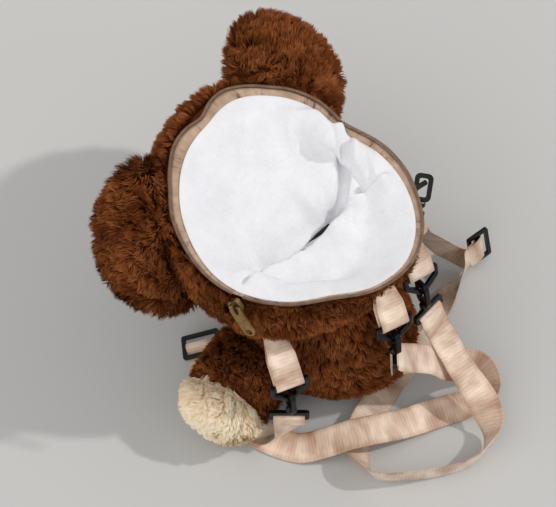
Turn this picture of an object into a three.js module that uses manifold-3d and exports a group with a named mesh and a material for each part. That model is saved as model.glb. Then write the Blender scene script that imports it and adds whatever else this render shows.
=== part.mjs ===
// Plush animal backpack, sitting on the floor with the zip across its head open.
// Millimetres, +Z up, face towards -Y, the animal's own left towards +X.
// The origin is on the floor, under the middle of the open mouth.
import * as THREE from "three";
import { mergeVertices } from "three/addons/utils/BufferGeometryUtils.js";
import Module from "manifold-3d";

const wasm = await Module();
wasm.setup();

// Driving dimensions
const STEPS_ROUND = 40; // facets round the bag
const GAP = 0.35; // clearance between pieces that touch
const LINING_WALL = 1.2;
const NECK_LEVEL = 97; // seam between torso and head
const MOUTH_LEVEL = 181; // height of the open mouth's middle
const MOUTH_TILT = 0.2; // the front lip stands higher than the back lip
const SEAM_STEP_LEFT = 1; // facet steps at the two ends of the zip
const SEAM_STEP_RIGHT = 21;
const COIL_RADIUS = 1.5;
const WEB_WIDTH = 25;
const WEB_THICK = 1.2;
const TAB_WIDTH = 23;
const TAB_ROOT_WIDTH = 13;
const TAB_THICK = 1;
const RING_HALF = 15.7;
const RING_BAR = 3.6;
const RING_DROP = 21.5;
const RING_GRIP = 18.6; // depth of the ring's lower corner, which the hook hangs from
const HOOK_TOP = 10.6; // start of the hook's loop below the ring's upper bar
const HOOK_END = 33;
const HOOK_HALF = 7.2;
const HOOK_BAR = 3.2;
const KNOB_RADIUS = 4.2;
const BASE_TOP = 38.9;
const BASE_BAR = 2.7;
const BASE_SLOT = 3.3;
const GLIDE_BAR = 3.4;
const GLIDE_SLOT = 5.6;
const GLIDE_MIDDLE = 3.6;
const GLIDE_THICK = 2.6;
const PULL_LENGTH = 28;
const PULL_WIDTH = 9.5;
const PULL_THICK = 1.8;
const LEG_LENGTH = 104;
const LEG_HALF_WIDTH = 38.5;
const LEG_HALF_HEIGHT = 29;
const FOOT_SHARE = 0.7; // where the cream foot starts along the leg
const EAR_THICK = 28; // half of an ear's thickness with its pile

// Reach of the zip's coil from the middle of the mouth, by angle from +X towards +Y
const MOUTH = [
  { angle: 0, reach: 94 },
  { angle: 30, reach: 87 },
  { angle: 55, reach: 83 },
  { angle: 80, reach: 92 },
  { angle: 102, reach: 98 },
  { angle: 130, reach: 96 },
  { angle: 160, reach: 88 },
  { angle: 187, reach: 79 },
  { angle: 205, reach: 89 },
  { angle: 225, reach: 97 },
  { angle: 246, reach: 102 },
  { angle: 270, reach: 98 },
  { angle: 300, reach: 95 },
  { angle: 330, reach: 94 },
];

// Sections of the torso's outside, from the seat to the neck
const TORSO = [
  { level: 0, tilt: 0, middle: 30, side: 46, front: 68, back: 50 },
  { level: 7, tilt: 0, middle: 30, side: 58, front: 80, back: 62 },
  { level: 18, tilt: 0, middle: 30, side: 64, front: 84, back: 76 },
  { level: 36, tilt: 0, middle: 30, side: 67, front: 84, back: 83 },
  { level: 60, tilt: 0, middle: 27, side: 65, front: 78, back: 76 },
  { level: 82, tilt: 0, middle: 20, side: 59, front: 66, back: 61 },
  { level: NECK_LEVEL - GAP, tilt: 0, middle: 10, side: 54, front: 60, back: 54 },
];

// Sections of the head's outside, from the neck up
const HEAD = [
  { level: NECK_LEVEL, tilt: 0, middle: 10, side: 54, front: 60, back: 54 },
  { level: 106, tilt: 0.02, middle: 2, side: 73, front: 84, back: 66 },
  { level: 124, tilt: 0.06, middle: -5, side: 94, front: 109, back: 82 },
  { level: 146, tilt: 0.12, middle: -5, side: 101, front: 121, back: 92 },
];

// Rows near the zip, as distance outside the coil and depth below it
const HEAD_LIP = [
  { outFront: 22, outSide: 5, outBack: 3, dropFront: 14, dropSide: 14, dropBack: 13 },
  { outFront: 17, outSide: 4, outBack: 4, dropFront: 3, dropSide: 3, dropBack: 4 },
  { outFront: 3, outSide: 3, outBack: 3, dropFront: -0.6, dropSide: -0.6, dropBack: -0.6 },
];

// The lining's inside: two rows below the tape, then sections down into the pocket
const LINING_LIP = [
  { outFront: -11.8, outSide: -9.8, outBack: -6.3, dropFront: 3.2, dropSide: 2.8, dropBack: 2.2 },
  { outFront: -27, outSide: -25, outBack: -21, dropFront: 6, dropSide: 9, dropBack: 10 },
];
const LINING = [
  { level: 160, tilt: 0.33, middle: 5, side: 58, front: 53, back: 52 },
  { level: 145, tilt: 0.36, middle: 12, side: 52, front: 34, back: 34 },
  { level: 123, tilt: 0.28, middle: 17, side: 47, front: 19, back: 19 },
  { level: 108, tilt: 0.08, middle: 19, side: 44, front: 15, back: 15 },
  { level: NECK_LEVEL, tilt: 0, middle: 20, side: 41, front: 17, back: 17 },
  { level: 70, tilt: 0, middle: 24, side: 43, front: 28, back: 28 },
  { level: 36, tilt: 0, middle: 27, side: 42, front: 32, back: 32 },
  { level: 21, tilt: 0, middle: 27, side: 32, front: 25, back: 25 },
];
// The zip's tape: the top of its edge beside the coil and of its edge sewn to the lining
const TAPE_EDGES = [
  { outFront: -11.2, outSide: -9.2, outBack: -5.7, dropFront: 3, dropSide: 2.5, dropBack: 1.7 },
  { outFront: -1.2, outSide: -1.2, outBack: -1.2, dropFront: 0.5, dropSide: 0.5, dropBack: 0.5 },
];
const TAPE_THICK = 0.9;
const POCKET_FLOOR = new THREE.Vector3(0, 27, 18);
const NECK_ROW = LINING_LIP.length + 4; // row of the lining at the neck

// Each strap anchor: where the tab leaves the bag, where its ring is, which way the ring
// and the hook on it hang, and which way the ring's bar and the swivel's bar run
const ANCHORS = [
  {
    name: "side_left",
    root: [71, 29, 121],
    ring: [91, 61, 90],
    ringHang: [-0.05, 0.17, -1],
    hang: [-0.05, 0.17, -1],
    ringBar: [-0.85, 0.52, 0],
    baseBar: [0.59, -0.81, 0],
  },
  {
    name: "back_left",
    root: [16, 82, 154],
    ring: [17, 106, 125],
    ringHang: [-0.14, 0.2, -1],
    hang: [-0.14, 0.2, -1],
    ringBar: [-0.9, 0.43, 0],
    baseBar: [-0.81, -0.59, 0],
  },
  {
    name: "back_right",
    root: [-30, 76, 148],
    ring: [-34, 96, 121],
    ringHang: [0.02, 0.3, -0.95],
    hang: [0.02, 0.3, -0.95],
    ringBar: [-0.93, 0.36, 0],
    baseBar: [-1, 0.1, 0],
  },
  {
    name: "side_right",
    root: [-62, 34, 112],
    ring: [-93, 42, 111],
    ringHang: [-0.95, 0.25, -0.1],
    hang: [0.6, 0.25, -0.76],
    ringBar: [0.43, 0.31, 0.85],
    baseBar: [-0.34, -0.73, -0.59],
  },
];

// Strap routes on the floor. turn is the compass angle of the webbing's width and rise
// is how far its edge lifts, in degrees
const LEFT_OUT = [
  { x: -8, y: 127, lift: 54, turn: 220, rise: 10 },
  { x: -21, y: 139, lift: 36, turn: 215, rise: 15 },
  { x: -38, y: 147, lift: 25, turn: 196, rise: 30 },
  { x: -44, y: 160, lift: 18, turn: 165, rise: 55 },
  { x: -37, y: 171, lift: 12, turn: 110, rise: 45 },
  { x: -22, y: 167, lift: 7, turn: 68, rise: 12 },
  { x: 2, y: 150, lift: 5, turn: 54, rise: -14 },
  { x: 32, y: 133, lift: 12, turn: 54, rise: -12 },
  { x: 56, y: 119, lift: 23, turn: 50, rise: -6 },
  { x: 70, y: 107, lift: 23, turn: 48, rise: -6 },
  { x: 83, y: 93, lift: 14, turn: 44, rise: -10 },
  { x: 96, y: 76, lift: 4.4, turn: 30, rise: -12 },
  { x: 103, y: 52, lift: 1.6, turn: 8, rise: 0 },
  { x: 104, y: 26, lift: 1, turn: -4, rise: 0 },
  { x: 101, y: 2, lift: 1, turn: -14, rise: 0 },
  { x: 94, y: -20, lift: 1.2, turn: -28, rise: 0 },
];
const LEFT_BACK = [
  { x: 94, y: -20, lift: 3.4, turn: -28, rise: 0 },
  { x: 101, y: 2, lift: 2.9, turn: -14, rise: 0 },
  { x: 104, y: 26, lift: 2.9, turn: -4, rise: 0 },
  { x: 103, y: 47, lift: 5, turn: 4, rise: 10 },
  { x: 97, y: 62, lift: 17, turn: -10, rise: 34 },
];
const RIGHT_OUT = [
  { x: -34, y: 119, lift: 58, turn: 176, rise: 0 },
  { x: -28, y: 137, lift: 47, turn: 178, rise: 0 },
  { x: -22, y: 156, lift: 36, turn: 178, rise: 4 },
  { x: -17, y: 174, lift: 27, turn: 170, rise: 18 },
  { x: -10, y: 187, lift: 19, turn: 145, rise: 42 },
  { x: 0, y: 196, lift: 14, turn: 115, rise: 66 },
  { x: 15, y: 199, lift: 13.4, turn: 80, rise: 80 },
  { x: 33, y: 194, lift: 13.4, turn: 58, rise: 82 },
  { x: 52, y: 180, lift: 13.4, turn: 46, rise: 82 },
  { x: 71, y: 160, lift: 13.4, turn: 32, rise: 80 },
  { x: 83, y: 143, lift: 13.2, turn: 12, rise: 76 },
  { x: 83, y: 130, lift: 12, turn: -10, rise: 64 },
  { x: 76, y: 118, lift: 9.2, turn: -40, rise: 40 },
  { x: 60, y: 108, lift: 7, turn: -70, rise: 30 },
  { x: 40, y: 104, lift: 6, turn: -80, rise: 24 },
  { x: 22, y: 102, lift: 3.6, turn: -86, rise: 12 },
  { x: 4, y: 100, lift: 1.2, turn: -90, rise: 0 },
  { x: -20, y: 100, lift: 1.2, turn: -92, rise: 0 },
  { x: -48, y: 98, lift: 1.4, turn: -94, rise: 0 },
  { x: -74, y: 94, lift: 3.4, turn: -92, rise: -10 },
  { x: -90, y: 93, lift: 7, turn: -92, rise: -30 },
  { x: -103, y: 94, lift: 11.4, turn: -92, rise: -58 },
  { x: -115, y: 95, lift: 14.6, turn: -93, rise: -84 },
];
const RIGHT_BACK = [
  { x: -121, y: 76, lift: 22, turn: -112, rise: -90 },
  { x: -114, y: 66, lift: 36, turn: -114, rise: -76 },
  { x: -105, y: 59, lift: 56, turn: -115, rise: -62 },
  { x: -98, y: 53, lift: 72, turn: -115, rise: -50 },
];
const LEFT_GLIDE = { at: [70, -44, 11.4], along: [-0.75, -0.66, 0.06], across: [0.62, -0.7, -0.32] };
const RIGHT_GLIDE = { at: [-143, 92, 17.4], along: [-0.95, 0.3, 0], across: [0.02, 0.25, -0.966] };

// Materials
const FUR = { color: 0x5f3219, roughness: 0.95, metalness: 0 };
const CREAM = { color: 0xe6d2b0, roughness: 0.95, metalness: 0 };
const COTTON = { color: 0xf2f2f4, roughness: 0.9, metalness: 0 };
const TAPE = { color: 0xb4967d, roughness: 0.8, metalness: 0 };
const COIL = { color: 0x7d6654, roughness: 0.5, metalness: 0 };
const BRASS = { color: 0x8a6f45, roughness: 0.4, metalness: 0.9 };
const SATIN = { color: 0xcdaf96, roughness: 0.45, metalness: 0 };
const NOSE = { color: 0x2b1a12, roughness: 0.5, metalness: 0 };
const BEAD = { color: 0x0c0a09, roughness: 0.15, metalness: 0 };
const PLASTIC = { color: 0x141414, roughness: 0.3, metalness: 0 };

const group = new THREE.Group();

function vector(list) {
  return new THREE.Vector3(list[0], list[1], list[2]);
}

function outwardVolume(positions, index) {
  const a = new THREE.Vector3();
  const b = new THREE.Vector3();
  const c = new THREE.Vector3();
  let total = 0;
  for (let k = 0; k < index.length; k += 3) {
    a.fromArray(positions, index[k] * 3);
    b.fromArray(positions, index[k + 1] * 3);
    c.fromArray(positions, index[k + 2] * 3);
    total += a.dot(b.cross(c));
  }
  return total;
}

// One closed body with shared corners, no empty facets, and faces pointing out
function closedBody(geometry) {
  geometry.deleteAttribute("normal");
  geometry.deleteAttribute("uv");
  const merged = mergeVertices(geometry, 1e-4);
  const source = merged.index.array;
  const kept = [];
  for (let k = 0; k < source.length; k += 3) {
    const [a, b, c] = [source[k], source[k + 1], source[k + 2]];
    if (a !== b && b !== c && c !== a) kept.push(a, b, c);
  }
  if (outwardVolume(merged.attributes.position.array, kept) < 0) kept.reverse();
  merged.setIndex(kept);
  return merged;
}

function solidOf(geometry) {
  const body = closedBody(geometry);
  return new wasm.Manifold(
    new wasm.Mesh({
      numProp: 3,
      vertProperties: new Float32Array(body.attributes.position.array),
      triVerts: new Uint32Array(body.index.array),
    }),
  );
}

function geometryOf(solid) {
  const mesh = solid.getMesh();
  const geometry = new THREE.BufferGeometry();
  geometry.setAttribute("position", new THREE.BufferAttribute(mesh.vertProperties, 3));
  geometry.setIndex(new THREE.BufferAttribute(mesh.triVerts, 1));
  return geometry;
}

function addPiece(name, geometry, look, parent = group) {
  const shaped = closedBody(geometry);
  shaped.computeVertexNormals();
  const mesh = new THREE.Mesh(shaped, new THREE.MeshStandardMaterial(look));
  mesh.name = name;
  parent.add(mesh);
  return mesh;
}

// A group whose x, y and z axes are the three given directions
function frameAt(place, xAxis, yAxis) {
  const x = xAxis.clone().normalize();
  const y = yAxis.clone().addScaledVector(x, -yAxis.dot(x)).normalize();
  const z = new THREE.Vector3().crossVectors(x, y);
  const frame = new THREE.Group();
  frame.position.copy(place);
  frame.quaternion.setFromRotationMatrix(new THREE.Matrix4().makeBasis(x, y, z));
  frame.updateMatrixWorld(true);
  group.add(frame);
  return frame;
}

// Sections round the bag

function reachAt(degrees) {
  const turn = ((degrees % 360) + 360) % 360;
  const count = MOUTH.length;
  const row = (k) => MOUTH[((k % count) + count) % count];
  const angleOf = (k) => row(k).angle + 360 * Math.floor(k / count);
  let k = count - 1;
  while (k > 0 && MOUTH[k].angle > turn) k -= 1;
  const span = angleOf(k + 1) - angleOf(k);
  const slope = (n) => (row(n + 1).reach - row(n - 1).reach) / (angleOf(n + 1) - angleOf(n - 1));
  const t = (turn - angleOf(k)) / span;
  const t2 = t * t;
  const t3 = t2 * t;
  return (
    (2 * t3 - 3 * t2 + 1) * row(k).reach +
    (t3 - 2 * t2 + t) * span * slope(k) +
    (-2 * t3 + 3 * t2) * row(k + 1).reach +
    (t3 - t2) * span * slope(k + 1)
  );
}

function angleAt(step) {
  return (step * 360) / STEPS_ROUND;
}

function lipPoint(row, step) {
  const degrees = angleAt(step);
  const angle = THREE.MathUtils.degToRad(degrees);
  const front = Math.max(0, -Math.sin(angle)) ** 2;
  const back = Math.max(0, Math.sin(angle)) ** 2;
  const side = Math.cos(angle) ** 2;
  const reach = reachAt(degrees);
  const out = reach + front * row.outFront + side * row.outSide + back * row.outBack;
  const drop = front * row.dropFront + side * row.dropSide + back * row.dropBack;
  const height = MOUTH_LEVEL - MOUTH_TILT * reach * Math.sin(angle) - drop;
  return new THREE.Vector3(out * Math.cos(angle), out * Math.sin(angle), height);
}

function sectionPoint(row, step) {
  const angle = THREE.MathUtils.degToRad(angleAt(step));
  const depth = Math.sin(angle) > 0 ? row.back : row.front;
  const y = row.middle + depth * Math.sin(angle);
  return new THREE.Vector3(row.side * Math.cos(angle), y, row.level - row.tilt * y);
}

function ringOf(row) {
  const point = "level" in row ? sectionPoint : lipPoint;
  return Array.from({ length: STEPS_ROUND }, (_, step) => point(row, step));
}

// A ring beside the coil with the same distance out and depth all round
function evenRing(out, drop) {
  const outs = { outFront: out, outSide: out, outBack: out };
  return ringOf({ ...outs, dropFront: drop, dropSide: drop, dropBack: drop });
}

function poleRing(place) {
  return Array.from({ length: STEPS_ROUND }, () => place.clone());
}

// Moves every point of a stack of rings along its surface normal
function grown(rings, distance) {
  return rings.map((ring, j) =>
    ring.map((point, i) => {
      const next = ring[(i + 1) % STEPS_ROUND];
      const last = ring[(i + STEPS_ROUND - 1) % STEPS_ROUND];
      const above = rings[Math.min(j + 1, rings.length - 1)][i];
      const below = rings[Math.max(j - 1, 0)][i];
      const round = new THREE.Vector3().subVectors(next, last);
      const along = new THREE.Vector3().subVectors(above, below);
      const normal = round.cross(along).normalize();
      return point.clone().addScaledVector(normal, distance);
    }),
  );
}

// A closed skin through a stack of rings whose first and last rings are single points
function wrapped(rings) {
  const profile = rings.map((_, j) => new THREE.Vector2(1, j));
  const geometry = new THREE.LatheGeometry(profile, STEPS_ROUND);
  const position = geometry.attributes.position;
  for (let i = 0; i <= STEPS_ROUND; i += 1) {
    rings.forEach((ring, j) => {
      const point = ring[i % STEPS_ROUND];
      position.setXYZ(i * rings.length + j, point.x, point.y, point.z);
    });
  }
  return geometry;
}

function columnAt(ring, step) {
  const low = Math.floor(step);
  const a = ring[((low % STEPS_ROUND) + STEPS_ROUND) % STEPS_ROUND];
  const b = ring[(((low + 1) % STEPS_ROUND) + STEPS_ROUND) % STEPS_ROUND];
  return a.clone().lerp(b, step - low);
}

// A wall between an outer and an inner stack of rings, from one facet step to another,
// held a little short of the seams at both ends
function wall(outer, inner, from, to, short) {
  const columns = to - from;
  const rows = outer.length - 1;
  const geometry = new THREE.BoxGeometry(1, 1, 1, columns, rows, 1);
  const position = geometry.attributes.position;
  for (let k = 0; k < position.count; k += 1) {
    const step = from + (position.getX(k) + 0.5) * columns;
    const held = Math.min(Math.max(step, from + short), to - short);
    const row = Math.round((position.getY(k) + 0.5) * rows);
    const rings = position.getZ(k) > 0 ? outer : inner;
    const point = columnAt(rings[row], held);
    position.setXYZ(k, point.x, point.y, point.z);
  }
  return geometry;
}

const torsoRings = TORSO.map(ringOf);
const headRings = [...HEAD, ...HEAD_LIP].map(ringOf);
const liningRings = [...LINING_LIP, ...LINING].map(ringOf);
const liningOutside = grown(liningRings, -LINING_WALL);
const paddingInside = grown(liningRings, -LINING_WALL - 2 * GAP);
const SEAT_MIDDLE = new THREE.Vector3(0, 30, 0);

// The padding's inside at the neck seam
const neckRow = LINING[NECK_ROW - LINING_LIP.length];
const neckWall = LINING_WALL + 2 * GAP;
const neckInside = ringOf({
  ...neckRow,
  side: neckRow.side + neckWall,
  front: neckRow.front + neckWall,
  back: neckRow.back + neckWall,
});

// The two head panels, with their outsides grown and their ends held short of the seams
function headPanels(growth, short) {
  const [edge, , ...deeper] = paddingInside.slice(0, NECK_ROW);
  const inner = [neckInside, ...deeper.reverse(), edge, evenRing(2.6, 0.8)];
  const outer = grown(headRings, growth);
  const round = SEAM_STEP_LEFT + STEPS_ROUND;
  return {
    back: wall(outer, inner, SEAM_STEP_LEFT, SEAM_STEP_RIGHT, short),
    front: wall(inner, outer, SEAM_STEP_RIGHT, round, short),
  };
}

function torsoSkin() {
  const inside = [neckInside, ...paddingInside.slice(NECK_ROW + 1)];
  const rings = inside.map((ring) => ring.map((point) => point.clone()));
  rings[0].forEach((point) => point.setZ(NECK_LEVEL - GAP));
  const floor = POCKET_FLOOR.clone();
  floor.z -= LINING_WALL + GAP;
  return wrapped([poleRing(SEAT_MIDDLE), ...torsoRings, ...rings, poleRing(floor)]);
}

// What is sewn to the bag is trimmed by the bag's grown outside and by the room over the mouth
const bagOutline = (() => {
  const panels = headPanels(GAP, 0);
  const bottom = new THREE.Vector3(0, 0, MOUTH_LEVEL - 30);
  const top = new THREE.Vector3(0, 0, MOUTH_LEVEL + 40);
  const room = wrapped([poleRing(bottom), evenRing(4, 6), evenRing(4, -40), poleRing(top)]);
  const neck = new THREE.Vector3(0, 15, NECK_LEVEL);
  const filled = wrapped([poleRing(SEAT_MIDDLE), ...grown(torsoRings, GAP), poleRing(neck)]);
  return solidOf(panels.back).add(solidOf(panels.front)).add(solidOf(filled)).add(solidOf(room));
})();

function buildTorso() {
  addPiece("torso", torsoSkin(), FUR);
}

function buildHead() {
  const panels = headPanels(0, 0.03);
  addPiece("head_back", panels.back, FUR);
  addPiece("head_front", panels.front, FUR);
}

function buildLining() {
  const floor = POCKET_FLOOR.clone();
  floor.z -= LINING_WALL;
  const outside = [poleRing(floor), ...liningOutside.slice().reverse()];
  addPiece("lining", wrapped([...outside, ...liningRings, poleRing(POCKET_FLOOR)]), COTTON);
}

function buildZip() {
  const lower = (row) => ({
    ...row,
    dropFront: row.dropFront + TAPE_THICK,
    dropSide: row.dropSide + TAPE_THICK,
    dropBack: row.dropBack + TAPE_THICK,
  });
  const top = TAPE_EDGES.map((row) => ringOf(row));
  const under = TAPE_EDGES.map((row) => ringOf(lower(row)));
  const halves = [
    { name: "back", from: SEAM_STEP_LEFT, to: SEAM_STEP_RIGHT },
    { name: "front", from: SEAM_STEP_RIGHT, to: SEAM_STEP_LEFT + STEPS_ROUND },
  ];
  const coilRing = evenRing(0.8, -0.9);
  for (const half of halves) {
    addPiece(`zip_tape_${half.name}`, wall(under, top, half.from, half.to, 0.06), TAPE);
    const places = [];
    for (let step = half.from; step <= half.to; step += 1) {
      const held = Math.min(Math.max(step, half.from + 0.9), half.to - 0.9);
      if (held === step || step === half.from || step === half.to) places.push(columnAt(coilRing, held));
    }
    addPiece(`zip_coil_${half.name}`, tube(places, COIL_RADIUS, 6, places.length), COIL);
  }
}

function tube(places, radius, sides, steps) {
  const shape = new THREE.Shape();
  for (let k = 0; k < sides; k += 1) {
    const angle = (k * 2 * Math.PI) / sides;
    const method = k === 0 ? "moveTo" : "lineTo";
    shape[method](radius * Math.cos(angle), radius * Math.sin(angle));
  }
  const path = new THREE.CatmullRomCurve3(places, false, "centripetal");
  return new THREE.ExtrudeGeometry(shape, { steps, bevelEnabled: false, extrudePath: path });
}

// Slider and pull at the left end of the zip. In their frame x runs across the slider,
// y runs up along it and z points away from the fur
const pullDown = new THREE.Vector3(0.03, 0.62, -0.78).normalize();
const awayFromFur = new THREE.Vector3(0.96, 0.24, 0.15);
const sliderFrame = (() => {
  const up = pullDown.clone().negate();
  const away = awayFromFur.clone().addScaledVector(up, -awayFromFur.dot(up)).normalize();
  const across = new THREE.Vector3().crossVectors(up, away);
  return frameAt(new THREE.Vector3(99.5, 17.1, 175), across, up);
})();
const SLIDER = { half: 4.6, up: 5, down: 6, thick: 4.2 };
const BAIL = { half: 4, high: 4.6, bar: 1.5, thick: 2.4 };
const HINGE_HEIGHT = 1.55; // hinge line of the pull above the slider's face

function roundedRectangle(left, right, low, high, radius) {
  const shape = new THREE.Shape();
  shape.moveTo(left + radius, low);
  shape.lineTo(right - radius, low);
  shape.absarc(right - radius, low + radius, radius, -Math.PI / 2, 0, false);
  shape.absarc(right - radius, high - radius, radius, 0, Math.PI / 2, false);
  shape.absarc(left + radius, high - radius, radius, Math.PI / 2, Math.PI, false);
  shape.absarc(left + radius, low + radius, radius, Math.PI, 1.5 * Math.PI, false);
  return shape;
}

function plate(shape, low, high, segments = 3) {
  const options = { depth: high - low, bevelEnabled: false, curveSegments: segments };
  return new THREE.ExtrudeGeometry(shape, options).translate(0, 0, low);
}

function buildSlider() {
  const body = plate(
    roundedRectangle(-SLIDER.half, SLIDER.half, -SLIDER.down, SLIDER.up, 2.4),
    -SLIDER.thick,
    0,
    2,
  );
  const arch = roundedRectangle(-BAIL.half, BAIL.half, -1, BAIL.high, 1.4);
  const inside = { side: BAIL.half - BAIL.bar, top: BAIL.high - BAIL.bar };
  arch.holes.push(roundedRectangle(-inside.side, inside.side, 0, inside.top, 0.6));
  const bail = plate(arch, -BAIL.thick / 2, BAIL.thick / 2, 2)
    .rotateX(Math.PI / 2)
    .rotateZ(Math.PI / 2);
  addPiece("zip_slider", geometryOf(solidOf(body).add(solidOf(bail))), BRASS, sliderFrame);
}

function buildPull() {
  const half = PULL_WIDTH / 2;
  const end = PULL_THICK / 2;
  const outline = roundedRectangle(-half, half, end - PULL_LENGTH, end, 3.4);
  const eye = new THREE.Path().absarc(0, -3.4, 2.5, 0, 2 * Math.PI, true);
  const grip = new THREE.Path().absarc(0, 4.6 - PULL_LENGTH, 2.7, 0, 2 * Math.PI, true);
  outline.holes.push(eye, grip);
  const tab = plate(outline, HINGE_HEIGHT - PULL_THICK / 2, HINGE_HEIGHT + PULL_THICK / 2, 4);
  addPiece("zip_pull", tab, BRASS, sliderFrame);
}

// Ears, legs, feet and face

function ball(radii, place, xAxis, yAxis, round = 16, high = 10) {
  const x = vector(xAxis).normalize();
  const y = vector(yAxis);
  y.addScaledVector(x, -y.dot(x)).normalize();
  const z = new THREE.Vector3().crossVectors(x, y);
  const matrix = new THREE.Matrix4().makeBasis(x, y, z).setPosition(vector(place));
  const sphere = new THREE.SphereGeometry(1, round, high).rotateX(Math.PI / 2);
  return sphere.scale(radii[0], radii[1], radii[2]).applyMatrix4(matrix);
}

function buildEars() {
  const ears = [
    {
      name: "ear_left",
      place: [81, -79, 155],
      radii: [57, 43, EAR_THICK],
      across: [0.5, 0.6, -0.62],
      out: [0.76, -0.62, 0],
    },
    {
      name: "ear_right",
      place: [-111, -89, 160],
      radii: [57, 51, EAR_THICK],
      across: [-0.5, 0.6, -0.62],
      out: [-0.76, -0.62, 0],
    },
  ];
  for (const ear of ears) {
    const solid = solidOf(ball(ear.radii, ear.place, ear.across, ear.out)).subtract(bagOutline);
    addPiece(ear.name, geometryOf(solid), FUR);
  }
}

// A plain face on the side away from the straps
function buildFace() {
  const across = [1, 0, 0];
  const forward = [0, -1, 0];
  const place = [0, -112, 128];
  const radii = [36, 20, 24];
  const muzzle = ball(radii, place, across, forward, 12, 8);
  const larger = radii.map((radius) => radius + GAP);
  const cleared = ball(larger, place, across, forward, 12, 8);
  const nose = ball([10, 7, 7], [0, -128, 138], across, forward, 8, 6);
  addPiece("muzzle", geometryOf(solidOf(muzzle).subtract(bagOutline)), CREAM);
  addPiece("nose", geometryOf(solidOf(nose).subtract(solidOf(cleared)).subtract(bagOutline)), NOSE);
  for (const side of ["left", "right"]) {
    const x = side === "left" ? 36 : -36;
    const eye = ball([6, 6, 6], [x, -118, 153], across, forward, 8, 6);
    addPiece(`eye_${side}`, geometryOf(solidOf(eye).subtract(bagOutline)), BEAD);
  }
}

function buildLegs() {
  const profile = [
    [0, 0],
    [0.9, 0],
    [1, 0.3],
    [1, 0.62],
    [0.95, 0.8],
    [0.8, 0.92],
    [0.5, 0.985],
    [0, 1],
  ].map(([radius, share]) => new THREE.Vector2(radius, share));
  const legs = [
    { side: "left", start: [36, 6, 33.6], heading: [0.99, 0.08, 0] },
    { side: "right", start: [-36, 6, 33.6], heading: [-0.99, 0.08, 0] },
  ];
  const border = FOOT_SHARE * LEG_LENGTH;
  const half = LEG_LENGTH;
  for (const leg of legs) {
    const heading = vector(leg.heading).normalize();
    const lateral = new THREE.Vector3().crossVectors(heading, new THREE.Vector3(0, 0, 1));
    const matrix = new THREE.Matrix4()
      .makeBasis(lateral, heading, new THREE.Vector3(0, 0, 1))
      .setPosition(vector(leg.start));
    const limb = new THREE.LatheGeometry(profile, 18)
      .scale(LEG_HALF_WIDTH, LEG_LENGTH, LEG_HALF_HEIGHT)
      .applyMatrix4(matrix);
    const beyond = new THREE.BoxGeometry(2 * half, 2 * half, 2 * half).translate(0, border + half, 0);
    const before = new THREE.BoxGeometry(2 * half, 2 * half, 2 * half).translate(0, border - half - GAP, 0);
    const whole = solidOf(limb).subtract(bagOutline);
    const upper = whole.intersect(solidOf(before.applyMatrix4(matrix)));
    const foot = whole.intersect(solidOf(beyond.applyMatrix4(matrix)));
    addPiece(`leg_${leg.side}`, geometryOf(upper), FUR);
    addPiece(`foot_${leg.side}`, geometryOf(foot), CREAM);
  }
}

// Webbing

// A flat strip along a route of rows with a place, a direction across and a width
function strip(route, thick, stepsPerRow) {
  const curve = new THREE.CatmullRomCurve3(
    route.map((row) => row.place),
    false,
    "centripetal",
  );
  const steps = (route.length - 1) * stepsPerRow;
  const geometry = new THREE.BoxGeometry(1, 1, 1, steps, 1, 1);
  const position = geometry.attributes.position;
  for (let k = 0; k < position.count; k += 1) {
    const t = Math.min(Math.max(position.getX(k) + 0.5, 0), 1);
    const at = Math.min(Math.floor(t * (route.length - 1) + 1e-9), route.length - 2);
    const part = t * (route.length - 1) - at;
    const place = curve.getPoint(t);
    const along = curve.getTangent(t).normalize();
    const across = route[at].across.clone().lerp(route[at + 1].across, part);
    across.addScaledVector(along, -across.dot(along)).normalize();
    const normal = new THREE.Vector3().crossVectors(along, across);
    const width = THREE.MathUtils.lerp(route[at].width, route[at + 1].width, part);
    place.addScaledVector(across, position.getY(k) * width);
    place.addScaledVector(normal, position.getZ(k) * thick);
    position.setXYZ(k, place.x, place.y, place.z);
  }
  return geometry;
}

function floorRow(row) {
  const turn = THREE.MathUtils.degToRad(row.turn);
  const rise = THREE.MathUtils.degToRad(row.rise);
  const flat = Math.cos(rise);
  const across = new THREE.Vector3(flat * Math.cos(turn), flat * Math.sin(turn), Math.sin(rise));
  return { place: new THREE.Vector3(row.x, row.y, row.lift), across, width: WEB_WIDTH };
}

// Rows of a strip in a frame: [distance along the frame's y, height along its z]
function frameRows(frame, across, pairs, width) {
  return pairs.map(([y, z]) => ({
    place: frame.localToWorld(new THREE.Vector3(0, y, z)),
    across: across.clone(),
    width,
  }));
}

// Tab, ring, snap hook and swivel bar of one strap anchor

// The hook hangs from the ring's lower corner, and may hang another way than the ring
function anchorFrames(anchor) {
  const bar = vector(anchor.ringBar).normalize();
  const up = vector(anchor.hang).negate();
  up.addScaledVector(bar, -up.dot(bar)).normalize();
  const ring = frameAt(vector(anchor.ring), bar, vector(anchor.ringHang).negate());
  const top = ring.localToWorld(new THREE.Vector3(0, -RING_GRIP, 0)).addScaledVector(up, RING_GRIP);
  return { ring, hook: frameAt(top, bar, up), base: frameAt(top, vector(anchor.baseBar), up) };
}

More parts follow.
